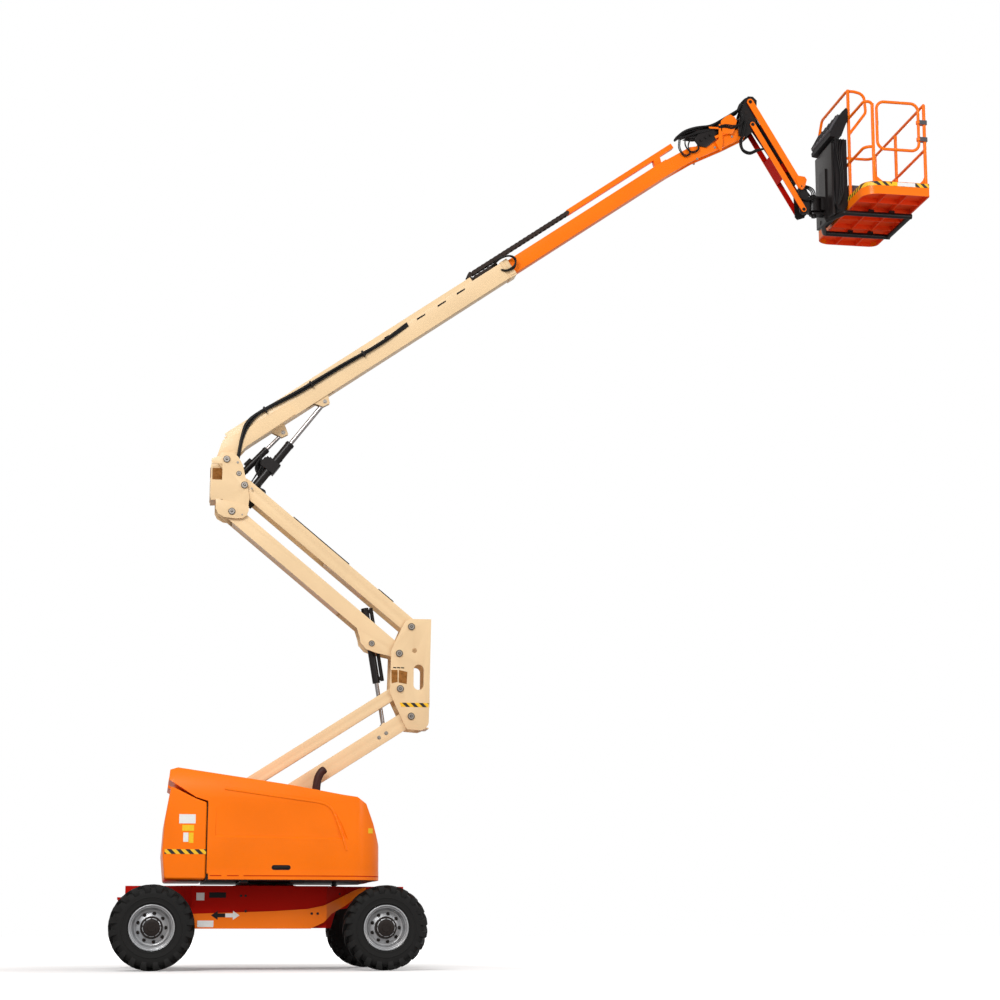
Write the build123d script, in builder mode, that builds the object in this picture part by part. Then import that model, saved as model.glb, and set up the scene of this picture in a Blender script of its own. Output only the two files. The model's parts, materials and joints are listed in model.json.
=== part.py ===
from build123d import *
import os
from math import atan2, cos, degrees, hypot, radians, sin

# Articulating boom lift, in millimetres. X runs forward, Y across (the near side is -Y), Z up.
# The origin is on the ground under the slew axis, midway between the axles.

os.makedirs("parts", exist_ok=True)

# ---------------------------------------------------------------- driving sizes
pin_play = 0.4
running_gap = 6.0
seat_gap = 0.3

# wheels and axles
wheel_radius = 420.0
tyre_width = 316.0
tyre_carcass_radius = 388.0
rim_radius = 224.0
wheelbase = 2300.0
track_half = 1010.0
lug_count = 16
flat_turn = 180.0 / lug_count / 2
hub_radius = 105.0
stud_circle = 66.0
axle_height = wheel_radius
axle_beam = 150.0
king_pin_y = 770.0
king_pin_radius = 30.0
steer_arm = 150.0
yoke_root = 110.0
tie_rod_radius = 22.0

# chassis
chassis_bottom = 416.0
chassis_top = 836.0
chassis_half = 690.0
chassis_nose_half = 430.0
chassis_tail_half = 470.0
chassis_front = 1400.0
chassis_rear = -1420.0
chassis_wall = 14.0
band_proud = 32.0
lug_bore_radius = 20.0
lug_y = 288.0
lug_low = 700.0
lug_thick = 24.0
slew_radius = 300.0
slew_height = 44.0

# turntable and cowls
turntable_half = 1100.0
turntable_floor_thick = 60.0
floor_rear = -640.0
cowl_wall = 24.0
panel_depth = 12.0
cowl_inner_y = 330.0
slot_half = 205.0
cowl_split_x = -632.0
cowl_bottom = 946.0
hinge_rear = (-600.0, 1950.0)
hinge_front = (640.0, 1752.0)
hinge_radius = 5.7
cowl_front_round = 330.0
cowl_shoulder = 130.0
frame_plate_inner = 152.0
frame_plate_thick = 16.0

# tower
tower_foot = (-630.0, 1247.0)
lower_arm_length = 2536.0
lower_arm_angle = 33.0
lower_arm_depth = 174.0
lower_link_depth = 126.0
lower_link_offset = (-119.0, 291.0)
upright_arm_offset = (-133.0, 668.0)
upper_arm_length = 2333.0
upper_arm_angle = 140.65
upper_arm_depth = 164.0
upper_link_depth = 164.0
upper_link_offset = (127.0, 290.0)
arm_half = 132.0
arm_wall = 8.0
arm_plate = 16.0
upright_inner = 146.0
upright_plate = 16.0
tower_pin_radius = 24.0
pin_head_radius = 34.0
pin_head_height = 12.0

# main boom and fly boom
boom_pivot_offset = (-67.0, 565.0)
boom_angle = 35.5
boom_low = 10.0
boom_high = 205.0
boom_half = 95.0
boom_wall = 8.0
boom_rear = -24.0
boom_length = 3870.0
tray_height = 50.0
tray_end = 3400.0
fly_low = 25.0
fly_high = 190.0
fly_half = 78.0
fly_rear = 3400.0
fly_end = 6180.0
tube_low = 264.0
tube_height = 56.0
tube_start = 4800.0
tube_end = 6300.0
chain_half = 50.0
chain_height = 46.0

# cylinders, each as the offset of its pins and its radii
tower_cylinder_pin = (-293.0, 104.0)
tower_rod_pin = (-277.0, -98.0)
lift_pin_offset = (118.0, 135.0)
lift_rod_along = 1254.0
lift_rod_across = -36.0
lift_y = -40.0
level_pin_offset = (66.0, 414.0)
level_rod_along = 701.0
level_rod_across = -59.0
level_y = 55.0
lift_barrel_length = 820.0
lift_rod_start = 400.0
level_barrel_length = 442.0
level_rod_start = 250.0
slave_barrel_length = 400.0
slave_rod_start = 235.0
jib_barrel_length = 540.0
jib_rod_start = 130.0

# nose, knuckle and jib
knuckle_along = 7100.0
knuckle_across = -21.0
slave_rear_along = 6475.0
slave_rear_across = 110.0
slave_front_offset = (37.0, 225.0)
jib_pin_offset = (81.0, 351.0)
jib_link_drop = (24.0, -272.0)
jib_angle = -59.1
jib_length = 1148.0
jib_arm_depth = 76.0
jib_link_depth = 62.0
jib_cylinder_drop = 200.0
jib_cylinder_reach = 850.0
jib_cylinder_low = 60.0
nose_half = 64.0
nose_plate = 14.0
knuckle_inner = 84.0
knuckle_plate = 16.0
jib_inner = 106.0
jib_plate = 14.0

# platform
rotator_offset = (178.0, -190.0)
rotator_radius = 85.0
rotator_height = 150.0
platform_gap = 305.0
platform_width = 760.0
platform_length = 1830.0
platform_drop = 322.0
deck_depth = 60.0
toe_height = 150.0
rail_height = 1090.0
mid_rail_height = 560.0
rail_radius = 17.0
rail_inset = 28.0
post_radius = 19.0


# ---------------------------------------------------------------- shared geometry
def travel(start, angle, along, across=0.0):
    """Point of the side view reached from start, along a direction and square to it."""
    a = radians(angle)
    return (
        start[0] + along * cos(a) - across * sin(a),
        start[1] + along * sin(a) + across * cos(a),
    )


def shifted(start, offset):
    return (start[0] + offset[0], start[1] + offset[1])


def aim(start, end):
    """Direction in degrees and distance from one point of the side view to another."""
    return (
        degrees(atan2(end[1] - start[1], end[0] - start[0])),
        hypot(end[0] - start[0], end[1] - start[1]),
    )


def side_plane(start, angle=0.0):
    """Upright fore-and-aft plane whose first axis runs at the angle and whose normal is the near side."""
    a = radians(angle)
    return Plane(origin=(start[0], 0, start[1]), x_dir=(cos(a), 0, sin(a)), z_dir=(0, -1, 0))


def plate(outline, plane, start, end, mode=Mode.ADD):
    """Flat piece with a side-view outline, between two distances towards the near side."""
    with BuildSketch(plane.offset(start)) as face:
        Polygon(*outline, align=None)
    extrude(face.sketch, amount=end - start, dir=plane.z_dir, mode=mode)


def twin_plates(outline, plane, inner, thick, mode=Mode.ADD):
    """The same plate on both sides of the centre plane."""
    plate(outline, plane, inner, inner + thick, mode)
    plate(outline, plane, -inner - thick, -inner, mode)


def disc(point, radius, start, end, mode=Mode.ADD):
    """Round bar across the machine, between two distances towards the near side."""
    with BuildSketch(side_plane(point).offset(start)) as face:
        Circle(radius)
    extrude(face.sketch, amount=end - start, dir=(0, -1, 0), mode=mode)


def twin_discs(point, radius, inner, outer, mode=Mode.ADD):
    disc(point, radius, inner, outer, mode)
    disc(point, radius, -outer, -inner, mode)


def bar(start, end, radius, mode=Mode.ADD):
    """Round bar between two points in space."""
    line = Vector(*end) - Vector(*start)
    with BuildSketch(Plane(origin=start, z_dir=line)) as face:
        Circle(radius)
    extrude(face.sketch, amount=line.length, dir=line, mode=mode)


def pipe(points, radius, bend):
    """Round tube along a run of straight lines with rounded corners."""
    with BuildLine() as route:
        FilletPolyline(*points, radius=bend)
    with BuildSketch(Plane(origin=route.line @ 0, z_dir=route.line % 0)) as face:
        Circle(radius)
    sweep(face.sketch, path=route.line)


def box(low, high, mode=Mode.ADD):
    """Box between two corners."""
    with BuildSketch(Plane.XY.offset(low[2])) as face:
        with Locations(((low[0] + high[0]) / 2, (low[1] + high[1]) / 2)):
            Rectangle(high[0] - low[0], high[1] - low[1])
    extrude(face.sketch, amount=high[2] - low[2], mode=mode)


def rectangle(x0, x1, low, high):
    return [(x0, low), (x1, low), (x1, high), (x0, high)]


def capsule(x0, x1, radius, steps=6):
    """Outline of a bar with round ends, as a short ring of points."""
    turn = [radians(90 + 180 * k / steps) for k in range(steps + 1)]
    left = [(x0 + radius * cos(a), radius * sin(a)) for a in turn]
    right = [(x1 - radius * cos(a), -radius * sin(a)) for a in turn]
    return left + right


def save(builder, name):
    builder.part.label = name
    export_step(builder.part, f"parts/{name}.step")


# Pins of the tower, seen from the side
lower_knee = travel(tower_foot, lower_arm_angle, lower_arm_length)
upper_knee = shifted(lower_knee, upright_arm_offset)
tower_head = travel(upper_knee, upper_arm_angle, upper_arm_length)
lower_link_foot = shifted(tower_foot, lower_link_offset)
lower_link_knee = shifted(lower_knee, lower_link_offset)
upper_link_knee = shifted(upper_knee, upper_link_offset)
upper_link_head = shifted(tower_head, upper_link_offset)
boom_pivot = shifted(tower_head, boom_pivot_offset)

# Pins of the cylinders
tower_pin = shifted(upper_knee, tower_cylinder_pin)
tower_rod_end = shifted(lower_knee, tower_rod_pin)
lift_pin = shifted(tower_head, lift_pin_offset)
lift_rod_end = travel(boom_pivot, boom_angle, lift_rod_along, lift_rod_across)
level_pin = shifted(tower_head, level_pin_offset)
level_rod_end = travel(boom_pivot, boom_angle, level_rod_along, level_rod_across)

# Pins of the knuckle and the jib
knuckle_pin = travel(boom_pivot, boom_angle, knuckle_along, knuckle_across)
slave_rear = travel(boom_pivot, boom_angle, slave_rear_along, slave_rear_across)
slave_front = shifted(knuckle_pin, slave_front_offset)
jib_pin = shifted(knuckle_pin, jib_pin_offset)
jib_link_pin = shifted(jib_pin, jib_link_drop)
jib_end = travel(jib_pin, jib_angle, jib_length)
jib_link_end = shifted(jib_end, jib_link_drop)
jib_cylinder_pin = shifted(jib_pin, (0.0, -jib_cylinder_drop))
jib_cylinder_end = travel(jib_pin, jib_angle, jib_cylinder_reach, -jib_cylinder_low)
rotator_axis = shifted(jib_end, rotator_offset)

# Places of the platform
platform_back = rotator_axis[0] + platform_gap
platform_front = platform_back + platform_width
platform_half = platform_length / 2
deck_bottom = jib_end[1] - platform_drop
deck_top = deck_bottom + deck_depth
rail_top = deck_bottom + rail_height
mid_rail = deck_bottom + mid_rail_height
rail_x0 = platform_back + rail_inset
rail_x1 = platform_front - rail_inset
rail_y = platform_half - 36
gate_x1 = rail_x1 - post_radius - rail_radius - 32

wheels = [
    # name, place along, place across
    ("rear_right", -wheelbase / 2, -track_half),
    ("rear_left", -wheelbase / 2, track_half),
    ("front_right", wheelbase / 2, -track_half),
    ("front_left", wheelbase / 2, track_half),
]


# ---------------------------------------------------------------- wheels
def ring_of_flats(centre, stations, mode=Mode.ADD):
    """Many-sided body on a wheel's axle, through pairs of distance across and radius to the flats."""
    with BuildPart() as body:
        for across, radius in stations:
            plane = Plane(origin=centre + Vector(0, across, 0), x_dir=(1, 0, 0), z_dir=(0, 1, 0))
            with BuildSketch(plane):
                RegularPolygon(radius, 2 * lug_count, major_radius=False, rotation=flat_turn)
        loft(ruled=True)
    add(body.part, mode=mode)


def tyre(name, x, y):
    """Tyre with one block lug on each flat of its tread, alternately left and right."""
    half = tyre_width / 2
    centre = Vector(x, y, axle_height)
    shoulder = half - 8
    bore = rim_radius - 23 + 0.3
    with BuildPart() as piece:
        ring_of_flats(
            centre,
            [
                (-shoulder, 345), (-shoulder + 34, tyre_carcass_radius),
                (shoulder - 34, tyre_carcass_radius), (shoulder, 345),
            ],
        )
        for index in range(2 * lug_count):
            side = 1 if index % 2 else -1
            turn = radians(index * 180 / lug_count)
            out = Vector(cos(turn), 0, sin(turn))
            foot = centre + out * (tyre_carcass_radius - 30)
            with BuildSketch(Plane(origin=foot, x_dir=(0, side, 0), z_dir=out)) as lug:
                Polygon((-6, -30), (half, -14), (half, 32), (-6, 16), align=None)
            extrude(lug.sketch, amount=wheel_radius - tyre_carcass_radius + 30, dir=out)
        ring_of_flats(
            centre,
            [
                (-half - 1, 296), (-half + 22, rim_radius + 5), (-half + 34, bore),
                (half - 34, bore), (half - 22, rim_radius + 5), (half + 1, 296),
            ],
            mode=Mode.SUBTRACT,
        )
    save(piece, f"tyre_{name}")


def rim(name, x, y):
    """Dished disc wheel with the planetary hub that shows through it."""
    out = -1 if y < 0 else 1
    centre = (x, y, axle_height)
    half = tyre_width / 2
    section = [
        (half - 33.5, rim_radius - 23),
        (half - 21.5, rim_radius),
        (half - 14, rim_radius),
        (half - 20, rim_radius - 16),
        (half - 50, rim_radius - 36),
        (half - 96, rim_radius - 52),
        (half - 104, 150),
        (half - 88, hub_radius),
        (half - 30, hub_radius - 10),
        (half - 18, hub_radius - 28),
        (half - 18, 1),
        (half - 190, 1),
        (half - 190, 120),
        (half - 118, 120),
        (half - 118, 160),
        (half - 118, rim_radius - 30),
        (-half + 50, rim_radius - 38),
        (-half + 14, rim_radius - 10),
        (-half + 14, rim_radius),
        (-half + 21.5, rim_radius),
        (-half + 33.5, rim_radius - 23),
    ]
    with BuildPart() as piece:
        with BuildSketch(Plane(origin=centre, x_dir=(0, out, 0), z_dir=(out, 0, 0))):
            Polygon(*section, align=None)
        revolve(axis=Axis(centre, (0, 1, 0)))
    save(piece, f"rim_{name}")


for name, x, y in wheels:
    tyre(name, x, y)
    rim(name, x, y)


# ---------------------------------------------------------------- axles
rear_x = -wheelbase / 2
front_x = wheelbase / 2
hub_face = track_half + tyre_width / 2 - 190

with BuildPart() as rear_axle:
    for side in (-1, 1):
        bar((rear_x, side * 200, axle_height), (rear_x, side * (hub_face - seat_gap), axle_height), 95)
        bar((rear_x, side * (hub_face - 60), axle_height), (rear_x, side * (hub_face - seat_gap), axle_height), 118)
    box((rear_x - 120, -260, axle_height - 120), (rear_x + 120, 260, axle_height + 110))
    bar((rear_x + 60, 0, axle_height), (rear_x + 260, 0, axle_height), 60)
save(rear_axle, "rear_axle")

with BuildPart() as front_axle:
    box(
        (front_x - axle_beam / 2, yoke_root - king_pin_y, axle_height - 70),
        (front_x + axle_beam / 2, king_pin_y - yoke_root, axle_height + 70),
    )
    for side in (-1, 1):
        # yoke above and below the king pin
        y_in, y_out = sorted((side * (king_pin_y - yoke_root - 2), side * (king_pin_y + 38)))
        for low in (-125, 85):
            box(
                (front_x - 60, y_in, axle_height + low),
                (front_x + 60, y_out, axle_height + low + 40),
            )
        y_in, y_out = sorted((side * (king_pin_y - yoke_root - 2), side * (king_pin_y - 72)))
        box((front_x - 20, y_in, axle_height - 125), (front_x + 60, y_out, axle_height + 125))
    # steering cylinder behind the beam
    bar((front_x - 150, -230, axle_height), (front_x - 150, 230, axle_height), 42)
    for y in (-180, 150):
        box((front_x - 150, y, axle_height - 20), (front_x - 70, y + 30, axle_height + 20))
save(front_axle, "front_axle")


def knuckle_block(name, side):
    """Steering knuckle: block on the king pin, stub to the hub and an arm behind."""
    y = side * king_pin_y
    with BuildPart() as piece:
        bar(
            (front_x, y, axle_height - 85 + pin_play),
            (front_x, y, axle_height + 85 - pin_play),
            52,
        )
        bar((front_x, y, axle_height), (front_x, side * (hub_face - seat_gap), axle_height), 48)
        arm_in = y - side * 26
        box(
            (front_x - steer_arm - 24, min(y, arm_in) - 14, axle_height - 46),
            (front_x - 20, max(y, arm_in) + 14, axle_height - 22),
        )
    save(piece, f"steer_knuckle_{name}")


knuckle_block("right", -1)
knuckle_block("left", 1)

with BuildPart() as tie_rod:
    rod_x = front_x - steer_arm
    rod_z = axle_height - 78
    bar((rod_x, -king_pin_y + 26, rod_z), (rod_x, king_pin_y - 26, rod_z), tie_rod_radius)
    for y in (-king_pin_y + 26, king_pin_y - 26):
        bar((rod_x, y, rod_z - 25), (rod_x, y, axle_height - 46 - seat_gap), 27)
save(tie_rod, "tie_rod")


# ---------------------------------------------------------------- chassis
def chassis_plan(inset):
    """Plan of the chassis, waisted behind the steered wheels, drawn in from its outer faces."""
    side = [
        (chassis_rear + inset, chassis_tail_half - inset), (-1000, chassis_tail_half + 60 - inset),
        (-760, chassis_half - inset), (590, chassis_half - inset), (800, chassis_nose_half - inset),
        (chassis_front - inset, chassis_nose_half - inset),
    ]
    return side + [(x, -y) for x, y in reversed(side)]


def chassis_slice(profile, inset, mode=Mode.ADD):
    """Side profile run across the chassis and trimmed to its plan."""
    with BuildPart() as body:
        plate(profile, side_plane((0, 0)), -900, 900)
        with BuildSketch(Plane.XY) as plan:
            Polygon(*chassis_plan(inset), align=None)
        extrude(plan.sketch, amount=1000, mode=Mode.INTERSECT)
    add(body.part, mode=mode)


with BuildPart() as chassis:
    low = chassis_bottom
    top = chassis_top
    chassis_slice(
        [
            (chassis_rear, top), (chassis_rear, 660), (-1000, 640), (-780, 600), (-750, low), (640, low),
            (700, 600), (1000, 640), (chassis_front, 660), (chassis_front, top),
        ],
        0,
    )
    chassis_slice(
        [
            (chassis_rear - 5, top - chassis_wall), (chassis_rear - 5, 600), (-1040, 560), (-764, 560),
            (-736, low - 5), (626, low - 5), (680, 560), (1000, 560), (1500, 600), (1500, top - chassis_wall),
        ],
        chassis_wall,
        mode=Mode.SUBTRACT,
    )
    # outer band that sweeps up towards the front wheels
    band = [
        (-752, low - 6), (430, low - 6), (560, 470), (650, 560), (800, 640), (1010, 800), (1010, top - 4),
        (900, 800), (760, 730), (560, 640), (400, 606), (60, 584), (-752, 556),
    ]
    chassis_slice(band, -band_proud)
    # inner frame rails keep the band's filling out of the hollow
    box((-730, -chassis_half + 200, low), (620, chassis_half - 200, top - 60), mode=Mode.SUBTRACT)
    for y in (-250, 220):
        box((-1300, y, axle_height + 110 + seat_gap), (-1010, y + 30, top - 2))
    for y in (-360, 330):
        box((-760, y, low + 20), (640, y + 30, top - 2))
        box((front_x - 90, y, axle_height + 70 + seat_gap), (front_x + 90, y + 30, top - 2))
    # tie-down lugs at the ends
    for x, reach in ((chassis_rear, -80), (chassis_front, 80)):
        x0, x1 = sorted((x - reach / 8, x + reach))
        for y in (-lug_y, lug_y):
            box((x0, y - 40, lug_low), (x1, y + 40, lug_low + lug_thick))
            bar((x + reach / 2, y, lug_low - 5), (x + reach / 2, y, lug_low + lug_thick + 5), lug_bore_radius, Mode.SUBTRACT)
    # slew ring seat
    with BuildSketch(Plane.XY.offset(top)) as ring:
        Circle(slew_radius)
        Circle(slew_radius - 70, mode=Mode.SUBTRACT)
    extrude(ring.sketch, amount=(slew_height - seat_gap) / 2)
save(chassis, "chassis")


# ---------------------------------------------------------------- turntable
turntable_bottom = chassis_top + slew_height
floor_top = turntable_bottom + turntable_floor_thick
cowl_profile = [
    (-1021, 1870), (-1012, 1972), (-935, 1996), (cowl_split_x, 1952), (-181, 1886), (228, 1822),
    (703, 1737), (851, 1716), (945, 1648), (1026, 1448), (1093, 1236), (1102, cowl_bottom),
    (cowl_split_x, cowl_bottom), (cowl_split_x, 1660), (-755, 1699),
]

with BuildPart() as turntable_frame:
    with BuildSketch(Plane.XY.offset(chassis_top + (slew_height + seat_gap) / 2)) as ring:
        Circle(slew_radius)
        Circle(slew_radius - 70, mode=Mode.SUBTRACT)
    extrude(ring.sketch, amount=(slew_height - seat_gap) / 2)
    with BuildSketch(Plane.XY.offset(turntable_bottom)) as floor:
        Polygon(
            (floor_rear, -turntable_half + 10), (780, -turntable_half + 10), (1050, -turntable_half + 260),
            (1050, turntable_half - 260), (780, turntable_half - 10), (floor_rear, turntable_half - 10),
            align=None,
        )
    extrude(floor.sketch, amount=turntable_floor_thick)
    twin_plates(
        [
            (-560, floor_top), (350, floor_top), (250, 1180), (-400, 1350), (-610, 1620), (-690, 1640),
            (-830, 1640), (-850, 1480), (-740, 1180), (-700, floor_top + 200),
        ],
        side_plane((0, 0)),
        frame_plate_inner,
        frame_plate_thick,
    )
    for point in (tower_foot, lower_link_foot):
        twin_discs(point, tower_pin_radius - pin_play, 96, frame_plate_inner + 1)
        twin_discs(point, pin_head_radius, frame_plate_inner + frame_plate_thick, slot_half - 6)
    box((-500, -frame_plate_inner, floor_top), (-480, frame_plate_inner, 1090))
    box((200, -frame_plate_inner, floor_top), (220, frame_plate_inner, 1080))
save(turntable_frame, "turntable_frame")

with BuildPart() as counterweight:
    plate(
        [
            (-1044, 890), (-1072, 1172), (-1055, 1470), (-1000, 1806), (-745, 1680),
            (floor_rear - seat_gap, 1646), (floor_rear - seat_gap, 890),
        ],
        side_plane((0, 0)),
        -turntable_half,
        turntable_half,
    )
    with BuildSketch(Plane.XY.offset(880)) as plan:
        with Locations((floor_rear - 200, 0)):
            RectangleRounded(900, 2 * turntable_half, 120)
    extrude(plan.sketch, amount=1000, mode=Mode.INTERSECT)
    box((-930, -slot_half, floor_top + 40), (-600, slot_half, 1900), mode=Mode.SUBTRACT)
save(counterweight, "counterweight")

with BuildPart() as engine:
    box((-300, -820, floor_top), (420, -380, floor_top + 560))
save(engine, "engine")

with BuildPart() as tank:
    box((-350, 420, floor_top), (450, 900, floor_top + 420))
save(tank, "tank")


cowl_panel = [
    (-560, 1600), (-560, 1310), (300, 1300), (760, 1290), (700, 1450), (640, 1560), (560, 1640),
    (480, 1672), (28, 1690), (-400, 1690),
]


def cowl_body(inset, side):
    """Outer or inner form of a cowl: its side profile, trimmed to its plan and its shoulder."""
    outer = turntable_half - inset
    with BuildPart() as body:
        with BuildSketch(side_plane((0, 0)).offset(-side * cowl_inner_y)) as profile:
            Polygon(*cowl_profile, align=None)
            if inset:
                offset(amount=-inset, kind=Kind.INTERSECTION)
        extrude(profile.sketch, amount=outer - cowl_inner_y, dir=(0, side, 0))
        with BuildSketch(Plane.XY.offset(cowl_bottom - 10)) as plan:
            with BuildLine():
                front = 1102.0 - inset
                Polyline(
                    (front - cowl_front_round, side * outer),
                    (-1100, side * outer),
                    (-1100, side * (cowl_inner_y - 5)),
                    (front, side * (cowl_inner_y - 5)),
                    (front, side * (outer - cowl_front_round)),
                )
                RadiusArc(
                    (front, side * (outer - cowl_front_round)),
                    (front - cowl_front_round, side * outer),
                    side * -cowl_front_round,
                )
            make_face()
        extrude(plan.sketch, amount=1200, mode=Mode.INTERSECT)
        with BuildSketch(Plane(origin=(-1100, 0, 0), x_dir=(0, 1, 0), z_dir=(1, 0, 0))) as shoulder:
            Polygon(
                (side * (outer - cowl_shoulder), 2010 - inset), (side * (outer + 5), 2010 - inset),
                (side * (outer + 5), 1300), (side * outer, 1300), (side * (outer - 14), 1690),
                (side * (outer - 36), 1840), align=None,
            )
        extrude(shoulder.sketch, amount=2300, dir=(1, 0, 0), mode=Mode.SUBTRACT)
    return body.part


def cowl(name, side):
    """Hinged cowl over one side of the turntable, a shell open below and towards the slot."""
    with BuildPart() as piece:
        add(cowl_body(0, side))
        add(cowl_body(cowl_wall, side), mode=Mode.SUBTRACT)
        y_in, y_out = sorted((side * (cowl_inner_y - 1), side * (turntable_half - cowl_wall - 4)))
        box((cowl_split_x + cowl_wall, y_in, cowl_bottom - 1), (1060, y_out, cowl_bottom + 30), mode=Mode.SUBTRACT)
        # sunk panel with sloping edges
        face = Plane(origin=(0, side * turntable_half, 0), x_dir=(1, 0, 0), z_dir=(0, side, 0))
        with BuildSketch(face) as panel:
            Polygon(*[(x, -side * z) for x, z in cowl_panel], align=None)
        extrude(panel.sketch, amount=-panel_depth, taper=40, mode=Mode.SUBTRACT)
        # hinge barrels along the top edge
        angle, reach = aim(hinge_rear, hinge_front)
        for start in (0.04, 0.44, 0.84):
            x0, z0 = travel(hinge_rear, angle, start * reach)
            x1, z1 = travel(hinge_rear, angle, (start + 0.12) * reach)
            bar((x0, side * cowl_inner_y, z0), (x1, side * cowl_inner_y, z1), hinge_radius)
    save(piece, f"cowl_{name}")


cowl("right", -1)
cowl("left", 1)

def centre_cowl(name, side):
    """Fixed strip of cowl beside the tower's slot, open below and towards the hinged cowl."""
    outer = cowl_inner_y - running_gap
    with BuildPart() as piece:
        plate(cowl_profile, side_plane((0, 0)), *sorted((-side * slot_half, -side * outer)))
        with BuildSketch(side_plane((0, 0)).offset(-side * (slot_half + cowl_wall))) as inner:
            Polygon(*cowl_profile, align=None)
            offset(amount=-cowl_wall, kind=Kind.INTERSECTION)
        extrude(inner.sketch, amount=outer, dir=(0, side, 0), mode=Mode.SUBTRACT)
        y_in, y_out = sorted((side * (slot_half + cowl_wall), side * 400))
        box((cowl_split_x + cowl_wall, y_in, cowl_bottom - 5), (1085, y_out, cowl_bottom + 20), mode=Mode.SUBTRACT)
        # foot along the slot
        y_in, y_out = sorted((side * slot_half, side * (slot_half + cowl_wall)))
        box((cowl_split_x, y_in, floor_top + seat_gap), (1000, y_out, cowl_bottom + 1))
    save(piece, f"centre_cowl_{name}")


centre_cowl("right", -1)
centre_cowl("left", 1)

with BuildPart() as exhaust:
    stack_y = -(slot_half + cowl_inner_y) / 2
    bar((501, stack_y, 1700), (501, stack_y, 1960), 42)
    bar((501, stack_y, 1950), (556, stack_y, 2045), 42)
    bar((511, stack_y, 1967), (560, stack_y, 2052), 36, mode=Mode.SUBTRACT)
    # foot cut to the slope of the cowl it stands on
    (x0, z0), (x1, z1) = cowl_profile[5:7]
    below = [(x0, 1600), (x1, 1600), (x1, z1 + seat_gap), (x0, z0 + seat_gap)]
    plate(below, side_plane((0, 0)), -stack_y - 60, -stack_y + 60, mode=Mode.SUBTRACT)
save(exhaust, "exhaust")


# ---------------------------------------------------------------- tower
arm_low = -lower_arm_depth / 2
arm_high = lower_arm_depth / 2
with BuildPart() as lower_arm:
    plane = side_plane(tower_foot, lower_arm_angle)
    plate(capsule(0, lower_arm_length, arm_high), plane, -arm_half, arm_half)
    plate(
        rectangle(120, lower_arm_length - 460, arm_low + arm_wall, arm_high - arm_wall),
        plane, -arm_half + arm_wall, arm_half - arm_wall, mode=Mode.SUBTRACT,
    )
    for x0, x1 in ((-100, 140), (lower_arm_length - 480, lower_arm_length + 100)):
        plate(
            rectangle(x0, x1, arm_low - 5, arm_high + 5),
            plane, -arm_half + arm_plate, arm_half - arm_plate, mode=Mode.SUBTRACT,
        )
    for point in (tower_foot, lower_knee):
        disc(point, tower_pin_radius, -arm_half - 5, arm_half + 5, mode=Mode.SUBTRACT)
    twin_discs(tower_rod_end, 30, 34, arm_half - arm_plate + 1)
save(lower_arm, "lower_arm")

with BuildPart() as lower_link:
    plane = side_plane(lower_link_foot, lower_arm_angle)
    half = lower_link_depth / 2
    twin_plates(capsule(0, lower_arm_length, half), plane, 84, arm_half - 84)
    plate(rectangle(500, 1500, -half + 20, -half + 32), plane, -86, 86)
    plate(rectangle(500, 1500, half - 32, half - 20), plane, -86, 86)
    for point in (lower_link_foot, lower_link_knee):
        disc(point, tower_pin_radius, -arm_half - 5, arm_half + 5, mode=Mode.SUBTRACT)
save(lower_link, "lower_link")

with BuildPart() as mid_upright:
    plane = side_plane(lower_knee)
    twin_plates(
        [
            (-66, 1022), (-8, 1042), (207, 1044), (190, -60), (183, -90), (150, -132), (106, -149),
            (-38, -138), (-60, -110), (-143, 65), (-228, 246), (-219, 698), (-172, 800), (-114, 933),
        ],
        plane, upright_inner, upright_plate,
    )
    plate(rectangle(183, 198, 100, 640), plane, -upright_inner - 1, upright_inner + 1)
    plate(rectangle(100, 190, -130, -116), plane, -upright_inner - 1, upright_inner + 1)
    for point in (lower_knee, lower_link_knee, upper_knee, upper_link_knee):
        twin_discs(point, tower_pin_radius - pin_play, 96, upright_inner + 1)
        twin_discs(point, pin_head_radius, upright_inner + upright_plate, upright_inner + upright_plate + pin_head_height)
    disc(shifted(lower_knee, (30, 702)), 26, -200, 200, mode=Mode.SUBTRACT)
    with BuildSketch(side_plane(shifted(lower_knee, (77, 418))).offset(-200)) as slot:
        SlotOverall(270, 107, rotation=90)
    extrude(slot.sketch, amount=400, dir=(0, -1, 0), mode=Mode.SUBTRACT)
save(mid_upright, "mid_upright")

with BuildPart() as upper_arm:
    plane = side_plane(upper_knee, upper_arm_angle)
    half = upper_arm_depth / 2
    plate(
        [
            (-40, -half + 20), (0, -half), (upper_arm_length + 20, -half), (upper_arm_length + 110, -half + 30),
            (upper_arm_length + 130, half), (520, half), (430, 140), (390, 175), (300, 190), (190, 150),
            (60, half), (-40, half - 20), (-70, 0),
        ],
        plane, -arm_half, arm_half,
    )
    plate(
        rectangle(760, upper_arm_length - 60, -half + arm_wall, half - arm_wall),
        plane, -arm_half + arm_wall, arm_half - arm_wall, mode=Mode.SUBTRACT,
    )
    for x0, x1 in ((-120, 780), (upper_arm_length - 80, upper_arm_length + 200)):
        plate(
            rectangle(x0, x1, -half - 5, 260),
            plane, -arm_half + arm_plate, arm_half - arm_plate, mode=Mode.SUBTRACT,
        )
    for point in (upper_knee, tower_head):
        disc(point, tower_pin_radius, -arm_half - 5, arm_half + 5, mode=Mode.SUBTRACT)
    twin_discs(tower_pin, tower_pin_radius - pin_play, 33, arm_half - 1)
    twin_discs(tower_pin, pin_head_radius, arm_half - 2, arm_half + 8)
save(upper_arm, "upper_arm")

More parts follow.
